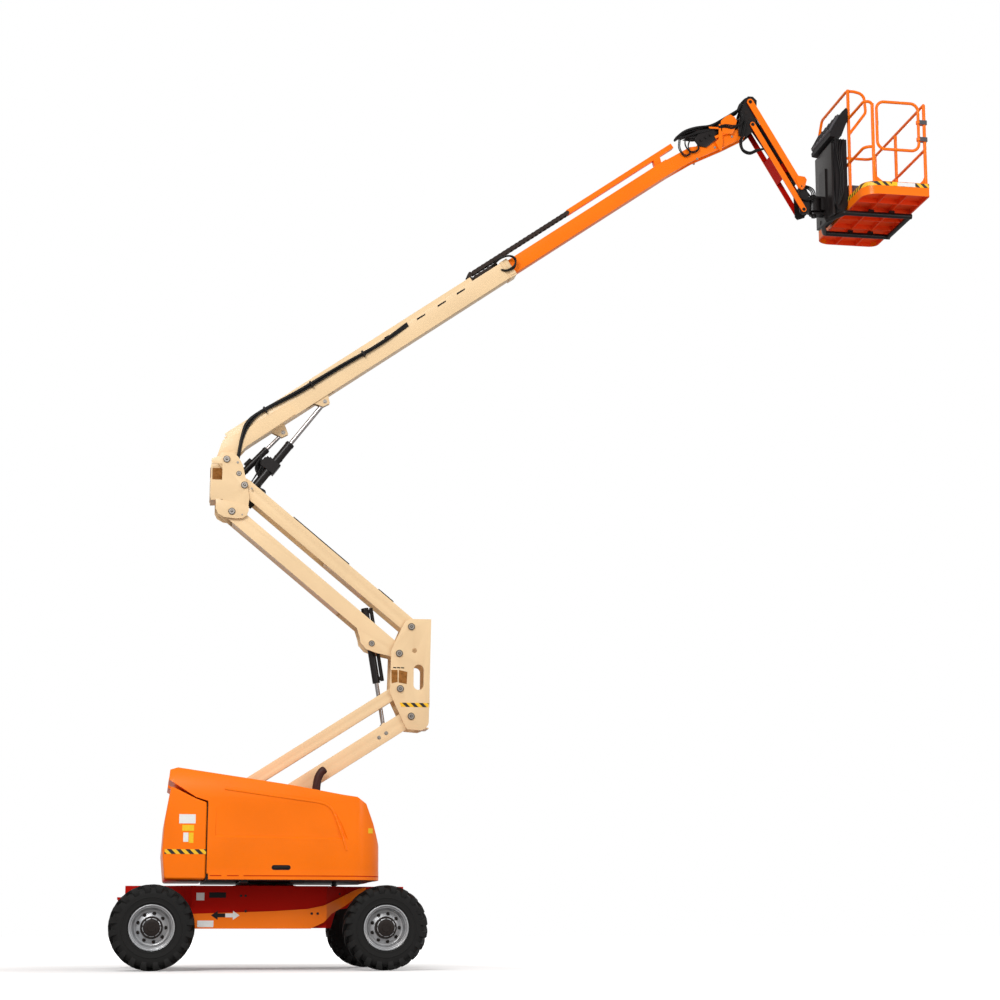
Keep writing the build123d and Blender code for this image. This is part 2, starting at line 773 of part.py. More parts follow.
with BuildPart() as upper_link:
    plane = side_plane(upper_link_knee, upper_arm_angle)
    half = upper_link_depth / 2
    twin_plates(capsule(0, upper_arm_length, half), plane, 108, arm_half - 108)
    for low in (-half, half - 10):
        plate(rectangle(620, 1150, low, low + 10), plane, -110, 110)
    for point in (upper_link_knee, upper_link_head):
        disc(point, tower_pin_radius, -arm_half - 5, arm_half + 5, mode=Mode.SUBTRACT)
save(upper_link, "upper_link")

with BuildPart() as top_upright:
    plane = side_plane(tower_head)
    twin_plates(
        [
            (-225, 566), (-232, 160), (-222, 118), (-160, 122), (-100, 130), (-85, -30), (-50, -64),
            (20, -68), (60, -40), (100, 30), (170, 30), (182, 150), (163, 266), (104, 510), (60, 590),
            (0, 640), (-120, 640), (-150, 600),
        ],
        plane, upright_inner, upright_plate,
    )
    plate(rectangle(-232, -220, 150, 360), plane, -upright_inner - 1, upright_inner + 1)
    plate(rectangle(-225, -100, 122, 134), plane, -upright_inner - 1, upright_inner + 1)
    for point in (tower_head, upper_link_head, boom_pivot):
        twin_discs(point, tower_pin_radius - pin_play, 98, upright_inner + 1)
        twin_discs(point, pin_head_radius, upright_inner + upright_plate, upright_inner + upright_plate + pin_head_height)
    # window and grease opening
    for side in (-1, 1):
        window = [(-215, 340), (-110, 340), (-110, 515), (-215, 515)]
        plate(window, plane, *sorted((side * 140, side * 170)), mode=Mode.SUBTRACT)
    # two inner lugs on a cross web carry the lift cylinder's pin
    plate([(-64, 292), (24, 322), (20, 334), (-68, 304)], plane, -upright_inner - 1, upright_inner + 1)
    ear = [(85, 105), (150, 120), (150, 160), (90, 190), (20, 330), (-60, 300), (-20, 220)]
    near = -lift_y + 52
    far = -lift_y - 52
    plate(ear, plane, near, near + 11)
    plate(ear, plane, far - 14, far)
    disc(lift_pin, 22 - pin_play, far - 14, near + 11)
    disc(level_pin, 22 - pin_play, -upright_inner - 1, upright_inner + 1)
save(top_upright, "top_upright")


# ---------------------------------------------------------------- cylinders
def rod(name, foot, head, y, radius, eye_radius, eye_width, start):
    """Rod with its eye, reaching back into the barrel to a distance from the barrel's pin."""
    angle, _ = aim(foot, head)
    with BuildPart() as piece:
        start_x, start_z = travel(foot, angle, start)
        bar((start_x, y, start_z), (head[0], y, head[1]), radius)
        disc(head, eye_radius, -y - eye_width / 2, -y + eye_width / 2)
    save(piece, name)


def barrel(foot, head, y, radius, length, rod_radius, bore, eye_width):
    """Barrel hung from a pin at its foot."""
    angle, _ = aim(foot, head)
    with BuildPart() as piece:
        start_x, start_z = travel(foot, angle, bore + 9)
        end_x, end_z = travel(foot, angle, length)
        bar((start_x, y, start_z), (end_x, y, end_z), radius)
        deep_x, deep_z = travel(foot, angle, 110)
        bar((deep_x, y, deep_z), (end_x, y, end_z), rod_radius + 0.5, mode=Mode.SUBTRACT)
        disc(foot, bore + 22, -y - eye_width / 2, -y + eye_width / 2)
        disc(foot, bore, -y - 100, -y + 100, mode=Mode.SUBTRACT)
    return piece


lift_angle, _ = aim(lift_pin, lift_rod_end)
lift_barrel = barrel(lift_pin, lift_rod_end, lift_y, 47, lift_barrel_length, 24, 22, 60)
with BuildPart() as lift_cylinder:
    add(lift_barrel.part)
    block_plane = side_plane(lift_pin, lift_angle)
    plate(rectangle(425, 560, 48, 75), block_plane, -lift_y - 50, -lift_y + 50)
    plate(rectangle(425, 560, -70, -48), block_plane, -lift_y - 50, -lift_y + 50)
    plate(rectangle(430, 555, -60, 60), block_plane, -lift_y + 40, -lift_y + 55)
    plate(rectangle(430, 555, -60, 60), block_plane, -lift_y - 50, -lift_y - 40)
save(lift_cylinder, "lift_barrel")
rod("lift_rod", lift_pin, lift_rod_end, lift_y, 24, 40, 46, lift_rod_start)

level_barrel = barrel(level_pin, level_rod_end, level_y, 36, level_barrel_length, 20, 22, 50)
save(level_barrel, "level_barrel")
rod("level_rod", level_pin, level_rod_end, level_y, 20, 34, 40, level_rod_start)

tower_angle, _ = aim(tower_pin, tower_rod_end)
with BuildPart() as tower_barrel:
    top = travel(tower_pin, tower_angle, -400)
    bottom = travel(tower_pin, tower_angle, 415)
    cap = travel(tower_pin, tower_angle, -380)
    bar((top[0], 0, top[1]), (bottom[0], 0, bottom[1]), 40)
    disc(tower_pin, 45, -60, 60)
    side_top = travel(tower_pin, tower_angle, -395, 66)
    side_bottom = travel(tower_pin, tower_angle, 400, 66)
    bar((side_top[0], 0, side_top[1]), (side_bottom[0], 0, side_bottom[1]), 20)
    plate(rectangle(-380, -340, 30, 52), side_plane(tower_pin, tower_angle), -15, 15)
    plate(rectangle(350, 390, 30, 52), side_plane(tower_pin, tower_angle), -15, 15)
    twin_discs(tower_pin, tower_pin_radius, 32, 61, mode=Mode.SUBTRACT)
    bar((cap[0], 0, cap[1]), (bottom[0], 0, bottom[1]), 22.5, mode=Mode.SUBTRACT)
save(tower_barrel, "tower_barrel")

with BuildPart() as tower_rod:
    start = travel(tower_rod_end, tower_angle, -880)
    bar((start[0], 0, start[1]), (tower_rod_end[0], 0, tower_rod_end[1]), 22)
    disc(tower_rod_end, 36, -28, 28)
save(tower_rod, "tower_rod")


# ---------------------------------------------------------------- main boom
boom_plane = side_plane(boom_pivot, boom_angle)
with BuildPart() as main_boom:
    plate(
        [(boom_rear, boom_low), (boom_length, boom_low), (boom_length, boom_high), (90, boom_high), (boom_rear, boom_high - 100)],
        boom_plane, -boom_half, boom_half,
    )
    plate(
        rectangle(boom_rear - 5, boom_length + 5, boom_low + boom_wall, boom_high - boom_wall),
        boom_plane, -boom_half + boom_wall, boom_half - boom_wall, mode=Mode.SUBTRACT,
    )
    # cheeks round the pivot
    twin_plates(
        [
            (-62, 10), (-45, -45), (0, -64), (45, -45), (260, boom_low), (900, boom_low + 10), (900, boom_high - 60),
            (200, boom_high - 20), (60, boom_high - 20), (-62, 90),
        ],
        boom_plane, boom_half - 1, 13,
    )
    twin_discs(boom_pivot, 62, boom_half + 11, upright_inner - 6)
    # tray walls on the top
    twin_plates(rectangle(150, tray_end, boom_high - 2, boom_high + tray_height), boom_plane, boom_half - 12, 10)
    for x in (240, 900, 1600, 2300, 3000):
        plate(rectangle(x, x + 40, boom_high - 2, boom_high + 8), boom_plane, -boom_half + 4, boom_half - 4)
    # lugs of the two rods
    lugs = [
        # along, across, side place, half gap, half width
        (lift_rod_along, lift_rod_across, lift_y, 30, 52),
        (level_rod_along, level_rod_across, level_y, 25, 44),
    ]
    for along, across, y, gap, width in lugs:
        ear = [
            (along - width - 60, boom_low + 4), (along - width, across - 34), (along + 34, across - 44),
            (along + width + 20, boom_low + 4),
        ]
        plate(ear, boom_plane, -y + gap, -y + gap + 11)
        plate(ear, boom_plane, -y - gap - 11, -y - gap)
    # slots that let the rod eyes swing up between their lugs
    for x0, x1, y, gap in ((1040, 1404, lift_y, 30), (630, 770, level_y, 25)):
        slot = rectangle(x0, x1, boom_low - 1, boom_low + boom_wall + 1)
        plate(slot, boom_plane, -y - gap, -y + gap, mode=Mode.SUBTRACT)
    disc(boom_pivot, tower_pin_radius, -upright_inner, upright_inner, mode=Mode.SUBTRACT)
    # end collar
    plate(rectangle(boom_length - 90, boom_length, boom_low - 8, boom_high + 8), boom_plane, -boom_half - 8, boom_half + 8)
    plate(
        rectangle(boom_length - 95, boom_length + 5, boom_low + boom_wall, boom_high - boom_wall),
        boom_plane, -boom_half + boom_wall, boom_half - boom_wall, mode=Mode.SUBTRACT,
    )
    # wear pads at the mouth carry the fly boom
    pad = (boom_length - 80, boom_length - 10)
    plate(rectangle(*pad, boom_low + boom_wall - 1, fly_low - seat_gap), boom_plane, -50, 50)
    plate(rectangle(*pad, fly_high + seat_gap, boom_high - boom_wall + 1), boom_plane, -50, 50)
    twin_plates(rectangle(*pad, 60, 150), boom_plane, fly_half + seat_gap, boom_half - boom_wall + 1 - fly_half)
save(main_boom, "main_boom")

with BuildPart() as chain_lower:
    plate(
        rectangle(tray_end + 60, boom_length - 100, boom_high + 0.3, boom_high + chain_height),
        boom_plane, -chain_half, chain_half,
    )
save(chain_lower, "chain_lower")

with BuildPart() as fly_boom:
    plate(
        [(fly_rear, fly_low), (fly_end + 70, fly_low), (fly_end - 60, fly_high), (fly_rear, fly_high)],
        boom_plane, -fly_half, fly_half,
    )
    plate(
        rectangle(fly_rear - 5, fly_end + 100, fly_low + boom_wall, fly_high - boom_wall),
        boom_plane, -fly_half + boom_wall, fly_half - boom_wall, mode=Mode.SUBTRACT,
    )
    # nose plates carry the knuckle pin
    twin_plates(
        [
            (fly_end - 300, fly_low + 8), (fly_end - 300, fly_high - 8), (fly_end - 60, fly_high - 8),
            (6450, 160), (6560, 110), (7060, 40), (7150, 10), (7160, -40), (7120, -80), (7050, -82),
            (6800, -55), (6400, 8),
        ],
        boom_plane, nose_half, nose_plate,
    )
    plate(rectangle(6380, 6900, 20, 32), boom_plane, -nose_half - 1, nose_half + 1)
    # carrier tube with its two brackets
    plate(rectangle(tube_start, tube_end, tube_low, tube_low + tube_height), boom_plane, -40, 40)
    plate(
        rectangle(tube_start - 5, tube_end + 5, tube_low + 5, tube_low + tube_height - 5),
        boom_plane, -35, 35, mode=Mode.SUBTRACT,
    )
    for x in (fly_end - 200,):
        plate([(x, fly_high - 2), (x + 90, fly_high - 2), (x + 120, tube_low + 2), (x + 30, tube_low + 2)], boom_plane, -40, 40)
    disc(knuckle_pin, tower_pin_radius, -nose_half - 40, nose_half + 40, mode=Mode.SUBTRACT)
    disc(slave_rear, 20 - pin_play, -nose_half - 1, nose_half + 1)
save(fly_boom, "fly_boom")

with BuildPart() as chain_upper:
    plate(
        rectangle(tray_end + 60, tube_start - 0.5, tube_low + 2, tube_low + 2 + chain_height),
        boom_plane, -chain_half, chain_half,
    )
    # bend of links from the lower run to the upper run
    bend_low = boom_high + 14
    bend_high = tube_low + 2 + chain_height
    plate(
        [
            (tray_end + 61, bend_low), (tray_end + 61, bend_high), (tray_end + 20, bend_high - 12),
            (tray_end - 8, bend_high - 34), (tray_end - 8, bend_low + 34), (tray_end + 20, bend_low + 6),
            (tray_end + 52, bend_low),
        ],
        boom_plane, -chain_half, chain_half,
    )
    box_cut = rectangle(tray_end + 40, tray_end + 62, bend_low - 1, tube_low - 1)
    plate(box_cut, boom_plane, -chain_half - 1, chain_half + 1, mode=Mode.SUBTRACT)
save(chain_upper, "chain_upper")


# ---------------------------------------------------------------- knuckle, jib and their cylinders
with BuildPart() as knuckle:
    plane = side_plane(knuckle_pin)
    twin_plates(
        [
            (-60, -60), (40, -62), (150, 40), (150, 160), (165, 380), (120, 425), (60, 425), (20, 380),
            (-25, 240), (-60, 60),
        ],
        plane, knuckle_inner, knuckle_plate,
    )
    twin_discs(knuckle_pin, tower_pin_radius - pin_play, 40, knuckle_inner + 1)
    twin_discs(slave_front, 20, 32, knuckle_inner + 1)
    disc(jib_cylinder_pin, 18, -knuckle_inner - 1, knuckle_inner + 1)
    for point in (jib_pin, jib_link_pin):
        twin_discs(point, 20 - pin_play, knuckle_inner + knuckle_plate - 1, jib_inner + jib_plate + 6)
save(knuckle, "knuckle")

slave_barrel = barrel(slave_rear, slave_front, 0, 30, slave_barrel_length, 15, 20, 50)
save(slave_barrel, "slave_barrel")
rod("slave_rod", slave_rear, slave_front, 0, 15, 22, 40, slave_rod_start)

jib_half = jib_arm_depth / 2
with BuildPart() as jib_arm:
    plane = side_plane(jib_pin, jib_angle)
    twin_plates(capsule(0, jib_length, jib_half), plane, jib_inner, jib_plate)
    plate(rectangle(260, jib_length - 150, jib_half - 12, jib_half), plane, -jib_inner - 1, jib_inner + 1)
    plate(rectangle(560, 930, jib_half - 13, jib_half + 1), plane, -28, 28, mode=Mode.SUBTRACT)
    for point in (jib_pin, jib_end):
        disc(point, 20, -jib_inner - 30, jib_inner + 30, mode=Mode.SUBTRACT)
    ear = [
        (jib_cylinder_reach - 80, jib_half - 11), (jib_cylinder_reach - 34, -jib_cylinder_low - 8),
        (jib_cylinder_reach, -jib_cylinder_low - 30), (jib_cylinder_reach + 34, -jib_cylinder_low - 8),
        (jib_cylinder_reach + 80, jib_half - 11),
    ]
    twin_plates(ear, plane, 30, 12)
    twin_discs(jib_cylinder_end, 18, 26, 54)
save(jib_arm, "jib_arm")

with BuildPart() as jib_link:
    plane = side_plane(jib_link_pin, jib_angle)
    twin_plates(capsule(0, jib_length, jib_link_depth / 2), plane, jib_inner, jib_plate)
    plate(rectangle(420, 720, -jib_link_depth / 2, -jib_link_depth / 2 + 12), plane, -jib_inner - 1, jib_inner + 1)
    for point in (jib_link_pin, jib_link_end):
        disc(point, 20, -jib_inner - 30, jib_inner + 30, mode=Mode.SUBTRACT)
save(jib_link, "jib_link")

jib_barrel = barrel(jib_cylinder_pin, jib_cylinder_end, 0, 29, jib_barrel_length, 16, 18.4, 44)
save(jib_barrel, "jib_barrel")
rod("jib_rod", jib_cylinder_pin, jib_cylinder_end, 0, 16, 28, 40, jib_rod_start)

with BuildPart() as jib_head:
    plane = side_plane(jib_end)
    twin_plates(
        [(-34, 20), (-20, 40), (20, 40), (60, 0), (95, -100), (95, -300), (10, -330), (-20, -300)],
        plane, knuckle_inner, knuckle_plate,
    )
    plate(rectangle(80, 94, -290, -100), plane, -knuckle_inner - 1, knuckle_inner + 1)
    for point in (jib_end, jib_link_end):
        twin_discs(point, 20 - pin_play, knuckle_inner + knuckle_plate - 1, jib_inner + jib_plate + 6)
    # rotary actuator housing
    low = rotator_axis[1] - rotator_height / 2
    bar((rotator_axis[0], 0, low), (rotator_axis[0], 0, low + rotator_height), rotator_radius)
    box(
        (jib_end[0] + 92, -60, low + 20),
        (rotator_axis[0] - 40, 60, low + rotator_height - 20),
    )
    bar((rotator_axis[0], 0, low - 60), (rotator_axis[0], 0, low + rotator_height + 60), 30 - pin_play)
save(jib_head, "jib_head")

# ---------------------------------------------------------------- platform
support_top = rotator_axis[1] + rotator_height / 2 + 10
support_low = rotator_axis[1] - rotator_height / 2 - 34
beam_z = deck_bottom - 52
support_half = 370.0
deck_centre = (platform_back + platform_front) / 2
cell_x = (platform_width - 24) / 3
cell_y = (platform_length - 24) / 6
with BuildPart() as platform_support:
    # ears over and under the actuator, joined by the mast
    mast_x = rotator_axis[0] + rotator_radius + 24
    for z in (support_low, support_top):
        with BuildSketch(Plane.XY.offset(z)) as ear:
            with Locations((rotator_axis[0], 0)):
                Circle(55)
            with Locations(((rotator_axis[0] + mast_x) / 2 + 10, 0)):
                Rectangle(mast_x - rotator_axis[0] + 20, 110)
            with Locations((rotator_axis[0], 0)):
                Circle(30, mode=Mode.SUBTRACT)
        extrude(ear.sketch, amount=24)
    box((mast_x, -110, beam_z - 30), (mast_x + 40, 110, deck_top + 500))
    for side in (-1, 1):
        # tube that curves under the deck
        under_deck = [
            (mast_x + 20, side * 80, beam_z + 40), (mast_x + 20, side * 80, beam_z),
            (mast_x + 140, side * support_half, beam_z), (platform_front - 20, side * support_half, beam_z),
        ]
        pipe(under_deck, 30, 34)
        for x in (deck_centre - cell_x / 2, deck_centre + cell_x / 2):
            box(
                (x - 30, side * support_half - 20, beam_z + 10),
                (x + 30, side * support_half + 20, deck_bottom - seat_gap),
            )
    bar((platform_front - 40, -support_half - 1, beam_z), (platform_front - 40, support_half + 1, beam_z), 28)
save(platform_support, "platform_support")

deck_corners = [
    # along, across, radius
    (-1, -1, 180.0),
    (-1, 1, 180.0),
    (1, 1, 100.0),
    (1, -1, 20.0),
]


def deck_outline(z, inset):
    """Plan of the platform at a height, drawn in from its outer edge."""
    with BuildSketch(Plane.XY.offset(z)) as floor:
        with Locations((deck_centre, 0)):
            Rectangle(platform_width - 2 * inset, platform_length - 2 * inset)
        for along, across, radius in deck_corners:
            corner = (
                deck_centre + along * (platform_width / 2 - inset), across * (platform_half - inset), 0,
            )
            fillet(floor.vertices().sort_by_distance(corner)[0], max(radius - inset, 4))
    return floor.sketch


with BuildPart() as platform_deck:
    extrude(deck_outline(deck_bottom, 0), amount=toe_height)
    extrude(deck_outline(deck_top, 5), amount=toe_height, mode=Mode.SUBTRACT)
    with BuildSketch(Plane.XY.offset(deck_bottom)) as cells:
        with Locations((deck_centre, 0)):
            with GridLocations(cell_x, cell_y, 3, 6):
                Rectangle(cell_x - 12, cell_y - 12)
        add(deck_outline(0, 12), mode=Mode.INTERSECT)
    extrude(cells.sketch, amount=deck_depth - 8, mode=Mode.SUBTRACT)
save(platform_deck, "platform_deck")

gate_post_x = rail_x0 + 97
guard_y = -rail_y + 537
guard_top = rail_top + 350
gate_x0 = gate_post_x + post_radius + rail_radius + 14
with BuildPart() as rail_frame:
    post_foot = deck_top + 0.3
    posts = [
        # x, y, foot, top
        (rail_x1, -rail_y, post_foot, rail_top),
        (gate_post_x, -rail_y, post_foot, rail_top - 20),
        (rail_x0, guard_y, post_foot, guard_top),
        (rail_x0, rail_y - 190, post_foot, guard_top - 220),
        (rail_x1, 50, post_foot, rail_top),
        (rail_x1, rail_y - 120, post_foot, rail_top),
        (rail_x0 + 190, rail_y, post_foot, rail_top),
    ]
    for x, y, foot, top in posts:
        bar((x, y, foot), (x, y, top), post_radius)
    # top rail from the gate round the near corner to the guard post
    pipe(
        [
            (gate_post_x, -rail_y, rail_top - 60), (gate_post_x, -rail_y, rail_top),
            (rail_x0, -rail_y, rail_top), (rail_x0, guard_y + 1, rail_top),
        ],
        rail_radius, 48,
    )
    # top rail along the front and the far end, rising to the guard over the controls
    pipe(
        [
            (rail_x1, -rail_y - 1, rail_top), (rail_x1, rail_y, rail_top), (rail_x0, rail_y, rail_top),
            (rail_x0, rail_y - 260, guard_top), (rail_x0, guard_y, guard_top),
            (rail_x0 + 190, guard_y, guard_top - 40), (rail_x0 + 210, guard_y, guard_top - 260),
            (rail_x0 + 1, guard_y, rail_top - 190),
        ],
        rail_radius, 90,
    )
    pipe(
        [
            (rail_x1, -rail_y - 1, mid_rail), (rail_x1, rail_y, mid_rail), (rail_x0, rail_y, mid_rail),
            (rail_x0, -rail_y, mid_rail), (gate_post_x + 1, -rail_y, mid_rail),
        ],
        rail_radius, 94,
    )
    # eyes that hold the gate's upright
    for z in (mid_rail + 100, rail_top - 230):
        with BuildSketch(Plane.XY.offset(z)) as eye:
            with Locations(((gate_x1 + rail_x1) / 2, -rail_y)):
                Rectangle(rail_x1 - gate_x1, 30)
            with Locations((gate_x1, -rail_y)):
                Circle(rail_radius + 10)
                Circle(rail_radius + pin_play, mode=Mode.SUBTRACT)
        extrude(eye.sketch, amount=36)

# the frame is cut between its bends and posts into four lengths that meet end to end
rail_cut = rail_y - 97
half_cut = seat_gap / 2
out_x = 300
out_y = platform_half + 100
rail_lengths = [
    # name, space along from and to, space across from and to
    ("front", deck_centre, platform_front + out_x, -out_y, rail_cut - half_cut),
    ("far", platform_back - out_x, platform_front + out_x, rail_cut + half_cut, out_y),
    ("rear", platform_back - out_x, deck_centre, half_cut - rail_cut, rail_cut - half_cut),
    ("near", platform_back - out_x, deck_centre, -out_y, -rail_cut - half_cut),
]
for name, x_low, x_high, y_low, y_high in rail_lengths:
    with BuildPart() as rail_length:
        add(rail_frame.part)
        box((x_low, y_low, deck_bottom), (x_high, y_high, guard_top + 200), mode=Mode.INTERSECT)
    save(rail_length, f"platform_rail_{name}")

with BuildPart() as gate:
    frame = [
        (gate_x0 + 250, -rail_y, mid_rail - 20), (gate_x0, -rail_y, mid_rail - 20),
        (gate_x0, -rail_y, rail_top + 10), (gate_x1, -rail_y, rail_top + 10),
        (gate_x1, -rail_y, mid_rail - 20), (gate_x0 + 240, -rail_y, mid_rail - 20),
    ]
    pipe(frame, rail_radius, 90)
save(gate, "gate")

console_face = rail_inset - post_radius - seat_gap
with BuildPart() as console:
    plate(
        [
            (-205, 860), (-210, 900), (-60, 1160), (-16, 1206), (console_face, 1196), (console_face, 1060),
            (-20, 1000), (-70, 870), (-150, 850),
        ],
        side_plane((platform_back, deck_bottom)), -330, 370,
    )
save(console, "console")

with BuildPart() as console_cover:
    plate(
        [(-140, 60), (-140, 842), (-seat_gap, 842), (-seat_gap, 60), (-40, 0), (-120, 0)],
        side_plane((platform_back, deck_bottom)), -330, 330,
    )
save(console_cover, "console_cover")
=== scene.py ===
import json
import math

import bmesh
import bpy
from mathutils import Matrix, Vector


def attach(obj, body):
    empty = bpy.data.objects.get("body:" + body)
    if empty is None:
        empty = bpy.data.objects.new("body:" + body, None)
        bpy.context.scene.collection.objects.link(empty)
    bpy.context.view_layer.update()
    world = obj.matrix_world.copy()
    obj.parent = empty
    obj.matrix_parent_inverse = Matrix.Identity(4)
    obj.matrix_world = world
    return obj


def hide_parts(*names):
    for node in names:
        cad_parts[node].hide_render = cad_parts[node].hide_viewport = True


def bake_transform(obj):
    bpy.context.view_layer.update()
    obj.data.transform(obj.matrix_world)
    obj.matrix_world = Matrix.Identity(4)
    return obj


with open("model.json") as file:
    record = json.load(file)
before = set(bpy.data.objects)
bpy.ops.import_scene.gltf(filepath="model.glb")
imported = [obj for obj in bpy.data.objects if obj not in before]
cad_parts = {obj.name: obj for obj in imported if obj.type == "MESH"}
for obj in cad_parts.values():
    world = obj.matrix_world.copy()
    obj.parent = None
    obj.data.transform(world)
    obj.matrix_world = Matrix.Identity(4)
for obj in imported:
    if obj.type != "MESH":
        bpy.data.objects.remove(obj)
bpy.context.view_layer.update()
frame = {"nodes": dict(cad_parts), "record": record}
nodes = frame["nodes"]


# ---------------------------------------------------------------- materials
class Shader:
    """Small builder for one procedural material."""

    def __init__(self, name):
        self.mat = bpy.data.materials.new(name)
        self.mat.use_nodes = True
        self.tree = self.mat.node_tree
        self.bsdf = self.tree.nodes["Principled BSDF"]
        self.coord = self.node("ShaderNodeTexCoord").outputs["Object"]

    def node(self, kind, **values):
        made = self.tree.nodes.new(kind)
        for key, value in values.items():
            if hasattr(made, key):
                setattr(made, key, value)
            else:
                made.inputs[key].default_value = value
        return made

    def link(self, a, b):
        self.tree.links.new(a, b)

    def noise(self, scale, detail=4.0, rough=0.5):
        made = self.node("ShaderNodeTexNoise", Scale=scale, Detail=detail, Roughness=rough)
        self.link(self.coord, made.inputs["Vector"])
        return made.outputs["Fac"]

    def band(self, source, low, high, a=0.0, b=1.0):
        made = self.node("ShaderNodeMapRange")
        made.inputs["From Min"].default_value = low
        made.inputs["From Max"].default_value = high
        made.inputs["To Min"].default_value = a
        made.inputs["To Max"].default_value = b
        self.link(source, made.inputs["Value"])
        return made.outputs["Result"]

    def mix(self, fac, a, b):
        made = self.node("ShaderNodeMix", data_type="RGBA")
        self.link(fac, made.inputs[0])
        for slot, value in ((6, a), (7, b)):
            if isinstance(value, (tuple, list)):
                made.inputs[slot].default_value = (*value[:3], 1)
            else:
                self.link(value, made.inputs[slot])
        return made.outputs[2]

    def maths(self, kind, a, b):
        made = self.node("ShaderNodeMath", operation=kind)
        for index, value in enumerate((a, b)):
            if isinstance(value, float):
                made.inputs[index].default_value = value
            else:
                self.link(value, made.inputs[index])
        return made.outputs[0]

    def bump(self, source, strength, distance):
        made = self.node("ShaderNodeBump", Strength=strength, Distance=distance)
        self.link(source, made.inputs["Height"])
        self.link(made.outputs["Normal"], self.bsdf.inputs["Normal"])

    def colour(self, output):
        self.link(output, self.bsdf.inputs["Base Color"])

    def rough(self, output):
        self.link(output, self.bsdf.inputs["Roughness"])

    def value(self, name, number):
        self.bsdf.inputs[name].default_value = number


def paint(name, base, dust, grime=0.35, rough=0.3, coat=0.5, shine=0.16):
    """Sprayed paint with faint orange peel, low dust and a little wear."""
    s = Shader(name)
    broad = s.noise(1.7, 3.0)
    fine = s.noise(46.0, 5.0, 0.6)
    tone = s.mix(s.band(broad, 0.35, 0.65), tuple(c * 0.93 for c in base), base)
    mottled = s.mix(s.band(fine, 0.3, 0.7, 0.0, 0.05), tone, dust)
    height = s.node("ShaderNodeSeparateXYZ")
    s.link(s.coord, height.inputs[0])
    # dust on what is near the ground, gone above 1.1 m
    low = s.band(height.outputs["Z"], 1.1, 0.35, 0.0, grime)
    s.colour(s.mix(s.maths("MULTIPLY", low, s.band(broad, 0.4, 0.7)), mottled, dust))
    s.rough(s.band(fine, 0.3, 0.7, rough - 0.04, rough + 0.08))
    s.value("Coat Weight", coat)
    s.value("Coat Roughness", 0.12)
    s.value("Specular IOR Level", shine)
    s.bump(s.noise(90.0, 2.0), 0.02, 0.001)
    return s.mat


def metal(name, base, rough):
    """Bare metal with a fine grain."""
    s = Shader(name)
    grain = s.noise(90.0, 4.0)
    s.colour(s.mix(s.band(grain, 0.3, 0.7), tuple(c * 0.85 for c in base), base))
    s.rough(s.band(grain, 0.3, 0.7, rough, rough + 0.12))
    s.value("Metallic", 1.0)
    return s.mat


def plain(name, base, rough, scale=60.0, bump=0.15, spread=0.3):
    """Rubber, plastic, cast iron, label films and painted shade patches, with a mottled tone."""
    s = Shader(name)
    grain = s.noise(scale, 5.0)
    s.colour(s.mix(s.band(grain, 0.35, 0.65), tuple(c * (1 - spread) for c in base), base))
    s.rough(s.band(grain, 0.3, 0.7, rough - 0.08, rough + 0.08))
    s.value("Specular IOR Level", 0.22)
    s.bump(grain, bump, 0.002)
    return s.mat


def striped(name, pitch, slant):
    """Yellow and black slanting stripes."""
    s = Shader(name)
    parts = s.node("ShaderNodeSeparateXYZ")
    s.link(s.coord, parts.inputs[0])
    run = s.maths("ADD", parts.outputs["X"], parts.outputs["Y"])
    lean = s.maths("MULTIPLY", parts.outputs["Z"], slant)
    turn = s.maths("DIVIDE", s.maths("ADD", run, lean), pitch)
    half = s.maths("GREATER_THAN", s.maths("FRACT", turn, 0.0), 0.5)
    s.colour(s.mix(half, (0.9, 0.5, 0.01), (0.015, 0.013, 0.012)))
    s.value("Roughness", 0.4)
    return s.mat


ORANGE = paint("orange_paint", (1.0, 0.185, 0.0), (0.5, 0.14, 0.03), grime=0.12, coat=0.12)
# painted shade: a dark red that stands in for the orange paint in shadow
SHADE = paint(
    "painted_shade_red", (0.5, 0.004, 0.0), (0.22, 0.02, 0.01), grime=0.15, rough=0.45, coat=0.0, shine=0.06
)
# painted shade: a redder orange that stands in for the shaded underside of the deck
UNDER_SHADE = paint("underside_painted_shade", (0.98, 0.075, 0.01), (0.3, 0.05, 0.02), grime=0.1, rough=0.4, coat=0.05)
CREAM = paint("cream_paint", (0.83, 0.6, 0.35), (0.6, 0.42, 0.25), grime=0.2, coat=0.1)
BLACK = paint(
    "black_paint", (0.01, 0.008, 0.008), (0.08, 0.06, 0.05), grime=0.2, rough=0.36, coat=0.1, shine=0.2
)
SILVER = paint("silver_paint", (0.5, 0.51, 0.53), (0.3, 0.25, 0.2), grime=0.4, rough=0.36)
SILVER.node_tree.nodes["Principled BSDF"].inputs["Metallic"].default_value = 0.6
CHROME = metal("hard_chrome", (0.5, 0.46, 0.45), 0.16)
STEEL = metal("zinc_steel", (0.42, 0.38, 0.34), 0.34)
IRON = plain("cast_iron", (0.02, 0.014, 0.012), 0.45)
EXHAUST = plain("exhaust_steel", (0.055, 0.02, 0.016), 0.5, scale=40.0)
